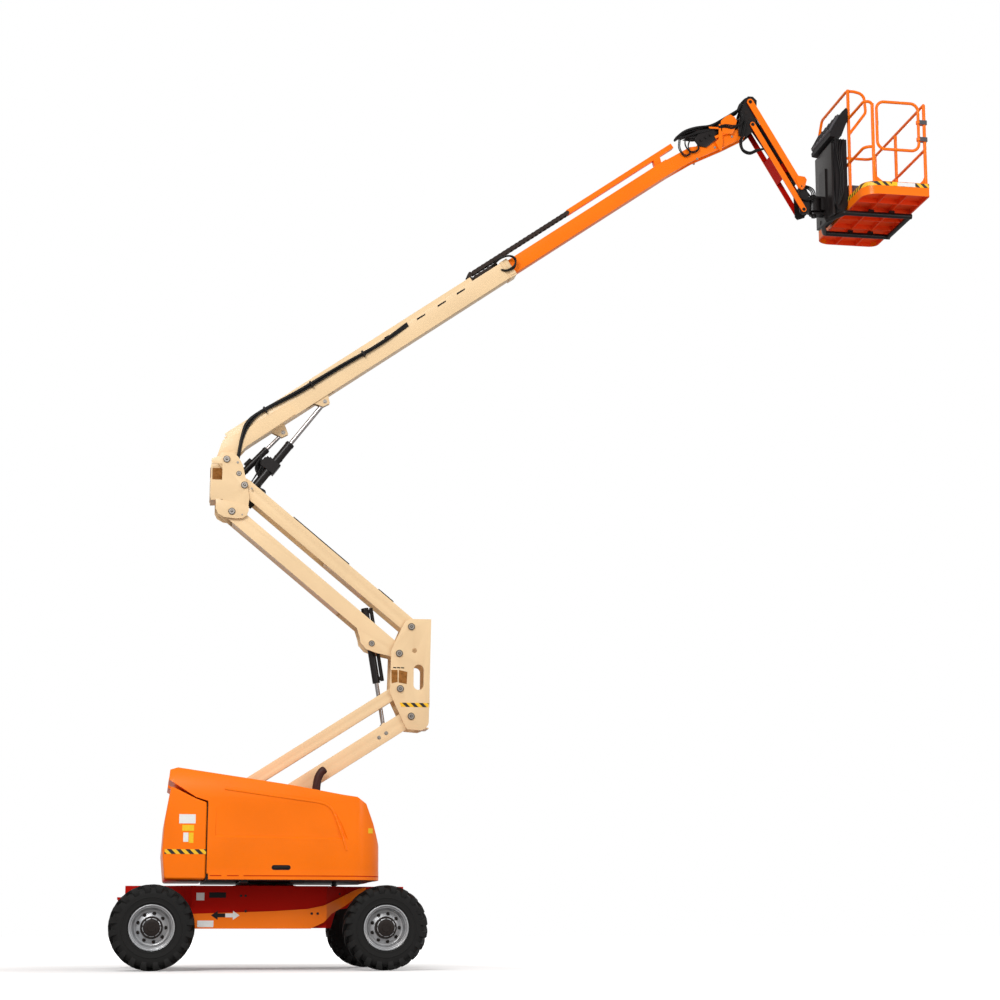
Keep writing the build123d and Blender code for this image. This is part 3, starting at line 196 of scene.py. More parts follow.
# painted shade: a brown that stands in for the shaded inside seen through the uprights' windows
BROWN_SHADE = plain("brown_painted_shade", (0.33, 0.13, 0.025), 0.3, scale=30.0, bump=0.02)
TYRE = plain("tyre_rubber", (0.012, 0.0115, 0.011), 0.72, scale=34.0, bump=0.3, spread=0.25)
HOSE = plain("hose_rubber", (0.008, 0.007, 0.007), 0.42, scale=120.0)
PLASTIC = plain("black_plastic", (0.012, 0.011, 0.012), 0.5, scale=220.0, bump=0.1)
CHAIN = plain("chain_plastic", (0.035, 0.022, 0.017), 0.55, scale=90.0)
GREY = plain("grey_plastic", (0.1, 0.096, 0.105), 0.5, scale=200.0, bump=0.08)
WHITE = plain("white_film", (0.82, 0.81, 0.79), 0.4, scale=40.0, bump=0.02, spread=0.05)
YELLOW = plain("yellow_film", (0.92, 0.56, 0.02), 0.4, scale=40.0, bump=0.02, spread=0.08)
SEAM = plain("seam_rubber", (0.01, 0.009, 0.009), 0.6, scale=80.0)
RED = plain("red_knob", (0.55, 0.01, 0.008), 0.35, scale=80.0, bump=0.05)
HAZARD = striped("hazard_film", 0.09, 1.0)

looks = {
    "tyre": TYRE,
    "rim": SILVER,
    "orange": ORANGE,
    "cream": CREAM,
    "rod": CHROME,
    "plastic": PLASTIC,
    "iron": IRON,
    "black": BLACK,
}
slots = {entry["node"]: entry["material_slot"] for entry in frame["record"]["subparts"]}
body_of_node = {}
for body_name, members in frame["record"]["behaviour"]["bodies"].items():
    for member in members:
        body_of_node[member] = body_name
for name, obj in nodes.items():
    obj.data.materials.clear()
    obj.data.materials.append(looks[slots[name]])


# ---------------------------------------------------------------- geometry helpers
class Side:
    """Side-view frame: u along a member, v square to it, y across the machine."""

    def __init__(self, origin=(0.0, 0.0), angle=0.0):
        self.origin = origin
        self.c = math.cos(math.radians(angle))
        self.s = math.sin(math.radians(angle))

    def at(self, u, v, y=0.0):
        x = self.origin[0] + u * self.c - v * self.s
        z = self.origin[1] + u * self.s + v * self.c
        return Vector((x, y, z))


# members of the machine in side view: where each starts and how it leans
BOOM_ANGLE = 35.5
FLAT = Side()
BOOM = Side((-0.5072, 5.3405), BOOM_ANGLE)
JIB = Side((5.3662, 9.7974), -59.1)
LOWER = Side((-0.63, 1.247), 33.0)
ULINK = Side((1.4909, 3.5862), 140.65)
LIFT = Side((-0.3222, 4.9105), 52.8)
LEVEL = Side((-0.3742, 5.1895), 47.22)
SIDES = (("right", -1), ("left", 1))


def rect(u0, v0, u1, v1):
    return [(u0, v0), (u1, v0), (u1, v1), (u0, v1)]


def arc(u, v, radius, start, end, steps):
    """Points round a centre, from one angle to another in degrees."""
    angles = [math.radians(start + (end - start) * k / steps) for k in range(steps + 1)]
    return [(u + radius * math.cos(a), v + radius * math.sin(a)) for a in angles]


def add_object(name, data):
    obj = bpy.data.objects.new(name, data)
    bpy.context.collection.objects.link(obj)
    return obj


def round_edges(bm, edges, width, segments):
    bmesh.ops.bevel(
        bm, geom=edges, offset=width, segments=segments, profile=0.6, affect="EDGES", clamp_overlap=True
    )


def make(name, body, material, verts, faces, smooth=None, bevel=0.0, replaces=None):
    """One mesh piece that rides on a body."""
    mesh = bpy.data.meshes.new(name)
    mesh.from_pydata([tuple(v) for v in verts], [], faces)
    bm = bmesh.new()
    bm.from_mesh(mesh)
    bmesh.ops.recalc_face_normals(bm, faces=bm.faces)
    if bevel:
        sharp = [e for e in bm.edges if len(e.link_faces) == 2 and e.calc_face_angle(0) > 0.6]
        round_edges(bm, sharp, bevel, 2)
    bm.to_mesh(mesh)
    bm.free()
    obj = add_object(name, mesh)
    mesh.materials.append(material)
    if smooth is not None or bevel:
        smooth_by_angle(mesh, smooth or 40)
    if body:
        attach(obj, body)
    if replaces:
        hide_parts(*replaces)
    return obj


def smooth_by_angle(mesh, angle):
    """Smooth shading with the edges over the angle kept sharp."""
    mesh.polygons.foreach_set("use_smooth", [True] * len(mesh.polygons))
    bm = bmesh.new()
    bm.from_mesh(mesh)
    limit = math.radians(angle)
    for e in bm.edges:
        e.smooth = len(e.link_faces) == 2 and e.calc_face_angle(0) < limit
    bm.to_mesh(mesh)
    bm.free()


class Pile:
    """Vertices and faces of many small solids that make one piece."""

    def __init__(self):
        self.verts = []
        self.faces = []

    def add(self, verts, faces):
        base = len(self.verts)
        self.verts += [Vector(v) for v in verts]
        self.faces += [tuple(base + i for i in f) for f in faces]

    def slab(self, side, outline, y0, y1):
        """Side-view outline run across from y0 to y1."""
        n = len(outline)
        verts = [side.at(u, v, y) for y in (y0, y1) for u, v in outline]
        faces = [tuple(range(n)), tuple(range(2 * n - 1, n - 1, -1))]
        faces += [(i, (i + 1) % n, n + (i + 1) % n, n + i) for i in range(n)]
        self.add(verts, faces)

    def both_sides(self, side, outline, inner, outer):
        """The same slab on the near and the far side."""
        for s in (-1, 1):
            self.slab(side, outline, s * inner, s * outer)

    def box(self, low, high):
        (x0, y0, z0), (x1, y1, z1) = low, high
        self.slab(FLAT, rect(x0, z0, x1, z1), y0, y1)

    def prism(self, start, end, radius, sides=6, end_radius=None):
        """Straight bar with flat ends."""
        start, end = Vector(start), Vector(end)
        axis = (end - start).normalized()
        a = axis.orthogonal().normalized()
        b = axis.cross(a)
        verts = []
        for centre, r in ((start, radius), (end, end_radius or radius)):
            for k in range(sides):
                t = 2 * math.pi * k / sides
                verts.append(centre + r * (math.cos(t) * a + math.sin(t) * b))
        faces = [tuple(range(sides)), tuple(range(2 * sides - 1, sides - 1, -1))]
        faces += [(k, (k + 1) % sides, sides + (k + 1) % sides, sides + k) for k in range(sides)]
        self.add(verts, faces)

    def tube(self, points, radius, sides=8, steps=6):
        """Hose along a smooth run through the points."""
        pts = [Vector(p) for p in points]
        run = []
        for i in range(len(pts) - 1):
            p0 = pts[max(i - 1, 0)]
            p1, p2 = pts[i], pts[i + 1]
            p3 = pts[min(i + 2, len(pts) - 1)]
            for k in range(steps):
                t = k / steps
                line = 2 * p1 + (p2 - p0) * t
                curve = (2 * p0 - 5 * p1 + 4 * p2 - p3) * t**2 + (3 * p1 - p0 - 3 * p2 + p3) * t**3
                run.append((line + curve) * 0.5)
        run.append(pts[-1])
        normal = (run[1] - run[0]).orthogonal().normalized()
        verts = []
        for i, p in enumerate(run):
            ahead = (run[min(i + 1, len(run) - 1)] - run[max(i - 1, 0)]).normalized()
            normal = (normal - ahead * normal.dot(ahead)).normalized()
            other = ahead.cross(normal)
            for k in range(sides):
                t = 2 * math.pi * k / sides
                verts.append(p + radius * (math.cos(t) * normal + math.sin(t) * other))
        faces = [tuple(range(sides)), tuple(range(len(verts) - 1, len(verts) - sides - 1, -1))]
        for i in range(len(run) - 1):
            for k in range(sides):
                k2 = (k + 1) % sides
                faces.append((i * sides + k, i * sides + k2, (i + 1) * sides + k2, (i + 1) * sides + k))
        self.add(verts, faces)

    def lathe(self, centre, axis, profile, sides=48, closed=True):
        """Body of revolution from pairs of distance along the axis and radius."""
        centre, axis = Vector(centre), Vector(axis).normalized()
        a = axis.orthogonal().normalized()
        b = axis.cross(a)
        verts = []
        n = len(profile)
        for k in range(sides):
            t = 2 * math.pi * k / sides
            out = math.cos(t) * a + math.sin(t) * b
            verts += [centre + axis * d + out * r for d, r in profile]
        faces = []
        for k in range(sides):
            k2 = (k + 1) % sides
            for i in range(n if closed else n - 1):
                j = (i + 1) % n
                faces.append((k * n + i, k * n + j, k2 * n + j, k2 * n + i))
        self.add(verts, faces)

    def bolt(self, at, normal, radius, height, washer=True):
        """Hexagon head, with or without a washer."""
        at, normal = Vector(at), Vector(normal).normalized()
        if washer:
            self.prism(at - normal * 0.0005, at + normal * height * 0.25, radius * 1.45, 16)
        self.prism(at, at + normal * height, radius, 6, radius * 0.94)

    def side_bolts(self, side, spots, y, radius, height):
        """Bolts that face outwards on the near and the far side."""
        for s in (-1, 1):
            for u, v in spots:
                self.bolt(side.at(u, v, s * y), (0, s, 0), radius, height)

    def piece(self, name, body, material, **options):
        return make(name, body, material, self.verts, self.faces, **options)


def bar_faces(stations):
    """Faces of a closed bar with four points at each station."""
    last = 4 * stations - 1
    faces = [(0, 1, 2, 3), (last, last - 1, last - 2, last - 3)]
    for base in range(0, last - 3, 4):
        for k in range(4):
            k2 = (k + 1) % 4
            faces.append((base + k, base + k2, base + 4 + k2, base + 4 + k))
    return faces


def strip(points, thick, heights, lift, s=-1):
    """Upright strip along plan points of the right side, lift proud of them, mirrored when s is 1."""
    low, high = heights
    verts = []
    for i, p in enumerate(points):
        ahead = (Vector(points[min(i + 1, len(points) - 1)]) - Vector(points[max(i - 1, 0)])).normalized()
        out = Vector((ahead.y, -ahead.x))
        inner = Vector(p) - out * thick
        outer = Vector(p) + out * lift
        verts += [(*inner, low), (*inner, high), (*outer, high), (*outer, low)]
    if s > 0:
        verts = [(x, -y, z) for x, y, z in verts]
    pile = Pile()
    pile.add(verts, bar_faces(len(points)))
    return pile


def soften(node, width, segments=3, keep=None):
    """Copy of a CAD node with its sharp edges rounded, shown in its place."""
    bm = bmesh.new()
    bm.from_mesh(nodes[node].data)
    bmesh.ops.remove_doubles(bm, verts=bm.verts, dist=0.00003)
    bmesh.ops.dissolve_limit(bm, angle_limit=math.radians(1.2), verts=bm.verts, edges=bm.edges)
    sharp = []
    for e in bm.edges:
        if len(e.link_faces) != 2 or e.calc_face_angle(0) < math.radians(28):
            continue
        if keep and not keep((e.verts[0].co + e.verts[1].co) / 2):
            continue
        sharp.append(e)
    round_edges(bm, sharp, width, segments)
    mesh = bpy.data.meshes.new(node + "_skin")
    bm.to_mesh(mesh)
    bm.free()
    obj = add_object(node + "_skin", mesh)
    mesh.materials.append(looks[slots[node]])
    smooth_by_angle(mesh, 32)
    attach(obj, body_of_node[node])
    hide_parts(node)


# ---------------------------------------------------------------- wheels
AXLE_X, AXLE_Z, WHEEL_Y = 1.15, 0.42, 1.01
HALF_WIDTH = 0.158  # of the tyre


def tyre_piece(name, x, y):
    """Tyre with ribbed sidewalls and slanted shoulder lugs."""
    pile = Pile()
    side = [
        (0.124, 0.2013), (0.136, 0.229), (0.1435, 0.236), (0.1475, 0.243), (0.1455, 0.25), (0.1475, 0.262),
        (0.15, 0.285), (0.1535, 0.289), (0.1535, 0.297), (0.15, 0.301), (0.1495, 0.33), (0.145, 0.352),
        (0.134, 0.372), (0.112, 0.386), (0.06, 0.3885), (0.0, 0.389),
    ]
    profile = side + [(-d, r) for d, r in reversed(side[:-1])]
    pile.lathe((x, y, AXLE_Z), (0, 1, 0), profile, sides=96)
    count = 20
    stations = [
        # across, top radius, foot radius, turn of the middle, half width
        (0.004, 0.4195, 0.375, -0.03, 0.026),
        (0.07, 0.42, 0.375, 0.005, 0.024),
        (0.126, 0.4165, 0.37, 0.034, 0.027),
        (0.148, 0.406, 0.35, 0.04, 0.03),
        (0.1575, 0.382, 0.33, 0.041, 0.029),
        (0.156, 0.35, 0.325, 0.04, 0.024),
    ]
    for sign in (-1, 1):
        for index in range(count):
            turn = 2 * math.pi * (index + 0.25 * sign) / count
            verts = []
            for across, top, foot, shift, width in stations:
                for r, w in ((top, -width), (top, width), (foot, width * 1.1), (foot, -width * 1.1)):
                    a = turn + sign * (shift + w) / 0.4
                    inward = 0.012 if r == foot and across > 0.14 else 0.0
                    d = sign * (across - inward)
                    verts.append((x + r * math.cos(a), y + d, AXLE_Z + r * math.sin(a)))
            pile.add(verts, bar_faces(len(stations)))
    piece = pile.piece("tyre_tread_" + name, "wheel_" + name, TYRE, smooth=30, replaces=("tyre_" + name,))


def hub_pieces(name, x, y):
    """Double lip on the rim, nuts, hub cap and its bolts."""
    out = -1 if y < 0 else 1
    centre = (x, y, AXLE_Z)
    axis = Vector((0, out, 0))

    def on_face(radius, turn, depth):
        """Point on the wheel's outer side, this deep inside the tyre's width."""
        across = y + out * (HALF_WIDTH - depth)
        return Vector((x + radius * math.cos(turn), across, AXLE_Z + radius * math.sin(turn)))

    lip = Pile()
    for depth, r, w in ((0.017, 0.2165, 0.006), (0.034, 0.199, 0.005)):
        lip.lathe(centre, axis, arc(HALF_WIDTH - depth, r, w, 0, 315, 7), sides=72)
    lip.piece("rim_lip_" + name, "wheel_" + name, SILVER, smooth=50)
    profile = [
        (0.098, 0.112), (0.06, 0.11), (0.032, 0.1065), (0.027, 0.1), (0.027, 0.086), (0.014, 0.08),
        (0.011, 0.074), (0.011, 0.045), (0.006, 0.04), (0.006, 0.001), (0.098, 0.001),
    ]
    cap = Pile()
    cap.lathe(centre, axis, [(HALF_WIDTH - depth, r) for depth, r in profile], closed=False)
    nuts = Pile()
    for k in range(9):
        turn = 2 * math.pi * k / 9
        cap.bolt(on_face(0.092, turn + 0.2, 0.028), axis, 0.0075, 0.008)
        at = on_face(0.1365, turn, 0.1035)
        nuts.prism(at - axis * 0.002, at + axis * 0.004, 0.019, 20)
        nuts.bolt(at + axis * 0.003, axis, 0.0125, 0.018)
        nuts.prism(at, at + axis * 0.028, 0.006, 10)
    cap.piece("hub_cap_" + name, "wheel_" + name, IRON, smooth=35)
    nuts.piece("wheel_nuts_" + name, "wheel_" + name, IRON, smooth=35)
    valve = Pile()
    at = on_face(0.178, 1.1, 0.062)
    valve.prism(at, at + axis * 0.03, 0.004, 8)
    valve.piece("valve_" + name, "wheel_" + name, STEEL)


for end, x in (("rear", -AXLE_X), ("front", AXLE_X)):
    for side_name, s in SIDES:
        wheel = (end + "_" + side_name, x, s * WHEEL_Y)
        tyre_piece(*wheel)
        hub_pieces(*wheel)

# ---------------------------------------------------------------- chassis
# half width of the upper body at points along the machine
plan = [(-1.42, 0.47), (-1.0, 0.53), (-0.76, 0.69), (0.59, 0.69), (0.8, 0.43), (1.4, 0.43)]


def chassis_half(x):
    """Half width of the chassis's upper body at x."""
    for (x0, y0), (x1, y1) in zip(plan, plan[1:]):
        if x0 <= x <= x1:
            return y0 + (y1 - y0) * (x - x0) / (x1 - x0)
    return 0.4


# what stands out beyond the upper body keeps the main paint; the rest gets the painted shade red, a painted
# shadow under the turntable
chassis = nodes["chassis"].data
chassis.materials.append(SHADE)
for polygon in chassis.polygons:
    c = polygon.center
    proud = abs(c.y) > chassis_half(c.x) + 0.012
    polygon.material_index = 0 if proud else 1

light, dark = Pile(), Pile()
light.box((-0.715, -0.6912, 0.69), (-0.635, -0.6899, 0.765))
dark.box((-0.588, -0.6912, 0.715), (-0.42, -0.6899, 0.77))
light.box((-0.7, -0.7232, 0.425), (-0.54, -0.7215, 0.49))
# direction arrows, one dark and one light
for way, pile in ((-1, dark), (1, light)):
    base = -0.424 + way * 0.001
    neck = base + way * 0.075
    arrow = [
        (base, 0.522), (neck, 0.522), (neck, 0.497), (base + way * 0.14, 0.5415), (neck, 0.586),
        (neck, 0.561), (base, 0.561),
    ]
    pile.slab(FLAT, arrow, -0.7232, -0.7215)
light.piece("chassis_plates", "chassis", WHITE)
dark.piece("chassis_marks", "chassis", SEAM)
bolts = Pile()
for x, z in ((-0.225, 0.736), (-0.27, 0.736), (0.735, 0.76), (-1.18, 0.78), (-1.02, 0.78)):
    bolts.side_bolts(FLAT, [(x, z)], chassis_half(x) - 0.002, 0.009, 0.01)
bolts.side_bolts(FLAT, ((-0.222, 0.583), (0.5, 0.56), (0.44, 0.56)), 0.7205, 0.009, 0.01)
bolts.piece("chassis_bolts", "chassis", IRON)
ring = Pile()
for x, y in arc(0, 0, 0.315, 0, 345, 23):
    ring.bolt((x, y, 0.836), (0, 0, 1), 0.012, 0.016)
ring.piece("slew_ring_bolts", "chassis", IRON)

# ---------------------------------------------------------------- turntable and cowls
for side_name in ("right", "left"):
    soften("cowl_" + side_name, 0.022, keep=lambda p: abs(p.y) > 0.35)
soften("counterweight", 0.03)

CORNER = (0.772, -0.77, 0.33)  # the right cowl's front corner in plan: centre and radius
corner = arc(*CORNER, -90, 0, 12)
skirt_runs = (
    [(-0.6, -1.1), (-0.486, -1.1)],
    [(-0.43, -1.1), (-0.316, -1.1)],
    [(-0.268, -1.1), (0.5, -1.1)] + corner + [(1.102, -0.36)],
)
for side_name, s in SIDES:
    body = "cowl_" + side_name
    # thin lines along the skirt in the painted shade red
    for index, run in enumerate(skirt_runs):
        line = strip(run, 0.006, (0.922, 0.93), 0.0024, s)
        line.piece("skirt_line_%s_%d" % (side_name, index), body, SHADE)
    # skirt that hangs below the cowl's edge
    hem = [(-0.616, -1.1), (0.0, -1.1)] + corner + [(1.102, -0.77), (1.102, -0.36)]
    skirt = strip(hem, 0.006, (0.889, 0.98), 0.0014, s)
    skirt.piece("cowl_skirt_" + side_name, body, ORANGE, smooth=30)
    # pressed crease round the flat of the cowl
    crease = Pile()
    crease_run = []
    for x, z in (
        (-0.47, 1.782), (-0.296, 1.758), (-0.03, 1.722), (0.24, 1.686), (0.45, 1.658), (0.54, 1.632),
        (0.6, 1.58), (0.65, 1.47), (0.7, 1.33), (0.735, 1.215), (0.745, 1.18),
    ):
        y = 1.1 - 0.014 * min(max((z - 1.3) / 0.39, 0), 1) - 0.022 * max((z - 1.69) / 0.15, 0)
        crease_run.append((x, s * (y - 0.004), z))
    crease.tube(crease_run, 0.013, sides=12, steps=5)
    crease.piece("cowl_crease_" + side_name, body, ORANGE, smooth=60)
    # latch in its oval cup
    cup = Pile()
    oval = arc(0.03, 1.008, 0.024, 90, 270, 12) + arc(0.17, 1.008, 0.024, -90, 90, 12)
    cup.slab(FLAT, oval, s * 1.094, s * 1.1016)
    cup.piece("latch_cup_" + side_name, body, SEAM)
    lever = Pile()
    handle = [(0.03, 0.998), (0.15, 1.001), (0.178, 1.008), (0.172, 1.021), (0.15, 1.023), (0.03, 1.013)]
    lever.slab(FLAT, handle, s * 1.101, s * 1.112)
    lever.piece("latch_lever_" + side_name, body, BLACK, bevel=0.003)

seam = Pile()
for s in (-1, 1):
    seam.box((-0.6395, s * 0.4, 0.95), (-0.6335, s * 1.0955, 1.645))
seam.piece("seam_strip", "turntable", SEAM)

for side_name, s in SIDES:
    flat = strip([(-1.046, -1.1), (-0.642, -1.1)], 0.006, (1.135, 1.182), 0.0012, s)
    flat.piece("counterweight_stripe_" + side_name, "turntable", HAZARD)

plates, warm = Pile(), Pile()
y0, y1 = -1.1012, -1.0995
plates.box((-0.912, y0, 1.435), (-0.752, y1, 1.525))
warm.box((-0.88, y0, 1.362), (-0.765, y1, 1.42))
plates.box((-0.868, y0, 1.255), (-0.818, y1, 1.345))
warm.box((-0.814, y0, 1.245), (-0.768, y1, 1.345))
plates.piece("counterweight_plates", "turntable", WHITE)
warm.piece("counterweight_plates_yellow", "turntable", YELLOW)
plate = strip(arc(*CORNER, -53.331, -41.986, 9), 0.004, (1.355, 1.405), 0.0016)
plate.piece("cowl_plate", "cowl_right", YELLOW, smooth=40)

lock = Pile()
lock.prism((0.68, -0.5, 0.8), (0.68, -0.5, 0.885), 0.022, 16)
lock.prism((0.68, -0.5, 0.842), (0.68, -0.5, 0.852), 0.034, 16)
lock.box((-0.3, -1.05, 0.858), (-0.22, -0.6, 0.882))
lock.box((0.2, -1.0, 0.862), (0.34, -0.55, 0.882))
lock.piece("turntable_lock", "turntable", BLACK)

STACK_Y = -0.2425
bend = ((0.5, 1.735), (0.502, 1.86), (0.516, 1.95), (0.546, 2.015), (0.576, 2.042))
stack_run = [FLAT.at(x, z, STACK_Y) for x, z in bend]
stack_lip = [(0, 0.042), (0.012, 0.038), (0.02, 0.027), (0.024, 0.0005)]
stack = Pile()
stack.tube(stack_run, 0.042, sides=28, steps=5)
stack.lathe(stack_run[-1], (0.74, 0, 0.67), stack_lip, closed=False)
stack.prism((0.5005, STACK_Y, 1.79), (0.501, STACK_Y, 1.8), 0.0455, 28)
stack.piece("exhaust_stack", "turntable", EXHAUST, smooth=50, replaces=("exhaust",))

# ---------------------------------------------------------------- tower
for node in ("lower_arm", "lower_link", "upper_arm", "upper_link", "mid_upright", "top_upright"):
    soften(node, 0.006, segments=2)

stripe = Pile()
stripe.both_sides(FLAT, [(1.392, 2.727), (1.68, 2.727), (1.684, 2.771), (1.372, 2.771)], 0.1618, 0.1632)
stripe.piece("upright_stripe", "mid_upright", HAZARD)
# painted shade: two brown patches for the shaded inside seen through the mid upright's windows
shade_patch, marks = Pile(), Pile()
y0, y1 = -0.163, -0.1618
shade_patch.slab(FLAT, [(1.286, 2.975), (1.35, 2.99), (1.348, 3.12), (1.28, 3.118)], y0, y1)
shade_patch.slab(FLAT, [(1.36, 2.985), (1.447, 2.97), (1.452, 3.1), (1.362, 3.12)], y0, y1)
for x in (1.3, 1.342, 1.384):
    marks.slab(FLAT, [(x, 3.138), (x + 0.034, 3.136), (x + 0.034, 3.148), (x, 3.15)], y0, y1)
shade_patch.piece("upright_painted_shade", "mid_upright", BROWN_SHADE)
marks.piece("upright_marks", "mid_upright", SEAM)


def pin_ends(name, body, spots, radius=0.031):
    """Pin ends with a dark groove around them and a keeper bolt in the middle."""
    groove = Pile()
    caps = Pile()
    for x, face, z in spots:
        for s in (-1, 1):
            at = Vector((x, s * face, z))
            out = Vector((0, s, 0))
            groove.prism(at - out * 0.002, at + out * 0.0012, radius + 0.006, 28)
            caps.prism(at - out * 0.002, at + out * 0.005, radius, 28)
            groove.prism(at + out * 0.004, at + out * 0.0056, radius * 0.45, 20)
            caps.bolt(at + out * 0.004, out, radius * 0.3, 0.009, washer=False)
    groove.piece(name + "_grooves", body, IRON)
    caps.piece(name + "_caps", body, STEEL, smooth=35)


knees = ((1.4969, 2.6282), (1.3779, 2.9192), (1.3639, 3.2962), (1.4909, 3.5862))
pin_ends("upright_pins", "mid_upright", [(x, 0.174, z) for x, z in knees])
heads = ((-0.4402, 4.7755), (-0.3132, 5.0655), (-0.5072, 5.3405))
pin_ends("head_pins", "top_upright", [(x, 0.174, z) for x, z in heads])
pin_ends("level_pins", "top_upright", [(-0.3742, 0.162, 5.1895)], 0.022)
pin_ends("cylinder_pins", "upper_arm", [(1.0709, 0.139, 3.4002)], 0.026)
pins = Pile()
pins.side_bolts(FLAT, ((-0.39, 5.31), (-0.33, 4.745), (-0.235, 5.03)), 0.162, 0.009, 0.01)
pins.piece("head_keeper_bolts", "top_upright", STEEL)
pins = Pile()
pins.side_bolts(LOWER, ((2.13, -0.01), (2.22, -0.01)), 0.131, 0.014, 0.012)
pins.piece("lower_arm_bolts", "lower_arm", STEEL)

# a brown patch of painted shade behind the window, and cheeks round the foot of the top upright
shade = Pile()
shade.box((-0.67, 0.139, 5.1), (-0.535, 0.1445, 5.306))
shade.piece("window_shade", "top_upright", BROWN_SHADE)
cheek = [
    (-0.612, 4.8), (-0.585, 4.748), (-0.52, 4.712), (-0.4, 4.7), (-0.33, 4.705), (-0.282, 4.735),
    (-0.262, 4.79), (-0.262, 4.84), (-0.612, 4.91),
]
cheeks = Pile()
cheeks.both_sides(FLAT, cheek, 0.1615, 0.166)
cheeks.piece("foot_cheeks", "top_upright", CREAM, bevel=0.0015)
lines = Pile()
for y in (-0.115, -0.095, 0.1):
    for run in ((0.94, 1.2, 1.45, 1.72), (0.32, 0.42, 0.53)):
        lines.tube([ULINK.at(u, -0.089, y) for u in run], 0.0065)
lines.piece("upper_link_lines", "upper_link", HOSE, smooth=60)

# ---------------------------------------------------------------- boom
soften("main_boom", 0.005, segments=2)
soften("fly_boom", 0.005, segments=2)

bundle = Pile()
route = [
    (-0.385, 5.37), (-0.368, 5.48), (-0.345, 5.6), (-0.29, 5.745), (-0.15, 5.888), (0.252, 6.13),
    (0.68, 6.417), (1.112, 6.698), (1.425, 6.945),
]
# how far each hose is shifted, square to the run and across
offsets = [(-0.014, 0.0), (-0.004, 0.011), (0.006, -0.007), (0.016, 0.005)]
for index, (lift, dy) in enumerate(offsets):
    line = []
    for k, (x, z) in enumerate(route):
        jitter = 0.004 * math.sin(2.1 * k + index)
        spread = 1.6 if k == 3 else 1.0
        y = -0.116 + dy if k < len(route) - 1 else -0.097
        line.append((x - 0.6 * lift * spread, y, z + (0.8 * lift + jitter) * spread))
    bundle.tube(line, 0.0085 + 0.001 * (index % 2), steps=8)
bundle.piece("boom_hoses", "main_boom", HOSE, smooth=60)
clips = Pile()
for k, t in ((4, 0.1), (5, 0.3), (6, 0.6)):
    x = route[k][0] + (route[k + 1][0] - route[k][0]) * t
    z = route[k][1] + (route[k + 1][1] - route[k][1]) * t
    clips.slab(Side((x, z), 33.0), rect(-0.009, -0.035, 0.009, 0.035), -0.138, -0.094)
clips.piece("hose_clips", "main_boom", BLACK, bevel=0.003)
marks = Pile()
for u in (2.35, 2.62, 2.9, 3.16):
    marks.slab(BOOM, [(u, 0.168), (u + 0.11, 0.168), (u + 0.12, 0.182), (u + 0.01, 0.186)], -0.0966, -0.0945)
marks.slab(BOOM, [(2.18, 0.15), (2.24, 0.15), (2.26, 0.2), (2.2, 0.2)], -0.104, -0.094)
marks.piece("boom_slots", "main_boom", SEAM)
lug_pins = Pile()
for u, v, y, reach in ((1.254, -0.036, -0.04, 0.041), (0.701, -0.059, 0.055, 0.036)):
    for s in (-1, 1):
        lug_pins.bolt(BOOM.at(u, v, y + s * reach), (0, s, 0), 0.016, 0.008)
lug_pins.piece("boom_lug_pins", "main_boom", STEEL)

LINK_PITCH = 0.058
CARRIER_LOW, CARRIER_HIGH = 0.2285, 0.289
waist = 0.0165
bone = arc(-LINK_PITCH * 0.34, 0, 0.021, 90, 270, 6) + [(0, -waist)]
bone += arc(LINK_PITCH * 0.34, 0, 0.021, -90, 90, 6) + [(0, waist)]


def carrier(name, body, links, node):
    """Hose carrier of dog-bone links on both sides, joined by cross bars."""
    pile = Pile()
    for index, (u, v, angle) in links:
        centre = BOOM.at(u, v)
        along = Side((centre.x, centre.z), BOOM_ANGLE + angle)
        wide = 0.046 if index % 2 else 0.0415
        pile.both_sides(along, bone, wide, wide + 0.0045)
        for s in (-1, 1):
            joint = -LINK_PITCH * 0.5
            pile.prism(along.at(joint, 0, s * 0.041), along.at(joint, 0, s * 0.0515), 0.006, 8)
        for v0, v1 in ((-0.0225, -0.0185), (0.0185, 0.0225)):
            pile.slab(along, rect(-0.012, v0, 0.012, v1), -0.047, 0.047)
    piece = pile.piece(name, body, CHAIN, replaces=(node,))


lower_run = [(3.485 + LINK_PITCH * k, CARRIER_LOW, 0.0) for k in range(5)]
upper_run = [(3.5 + LINK_PITCH * k, CARRIER_HIGH, 0.0) for k in range(23)]
bend_run = []
for k in range(3):
    t = math.radians(125 + 55 * k)
    bend_run.append((3.452 + 0.044 * math.cos(t), 0.2585 + 0.034 * math.sin(t), 90 + math.degrees(t)))
upper_links = [*enumerate(upper_run), *enumerate(bend_run)]
carrier("carrier_lower", "main_boom", enumerate(lower_run), "chain_lower")
carrier("carrier_upper", "fly_boom", upper_links, "chain_upper")
for name, body, v, run in (
    ("carrier_hoses", "fly_boom", CARRIER_HIGH, (3.49, 3.9, 4.3, 4.78)),
    ("carrier_hoses_lower", "main_boom", CARRIER_LOW, (3.47, 3.6, 3.77)),
):
    inner = Pile()
    for y, radius in ((-0.028, 0.01), (-0.008, 0.008), (0.012, 0.011), (0.031, 0.007)):
        inner.tube([BOOM.at(u, v, y) for u in run], radius)
    inner.piece(name, body, HOSE, smooth=60)
ring = Pile()
for index in range(3):
    y = -0.112 - 0.014 * index
    sag = 0.006 * index
    bow = (
        (3.7, 0.232, -0.03 - 0.01 * index), (3.8, 0.245, y), (3.905, 0.215 - sag, y - 0.02),
        (3.935, 0.14, y - 0.02), (3.88, 0.075 + sag, y - 0.01), (3.79, 0.09, y), (3.75, 0.135, -0.1),
    )
    ring.tube([BOOM.at(*place) for place in bow], 0.0105)
ring.piece("boom_tip_hoses", "main_boom", HOSE, smooth=60)
ear = Pile()
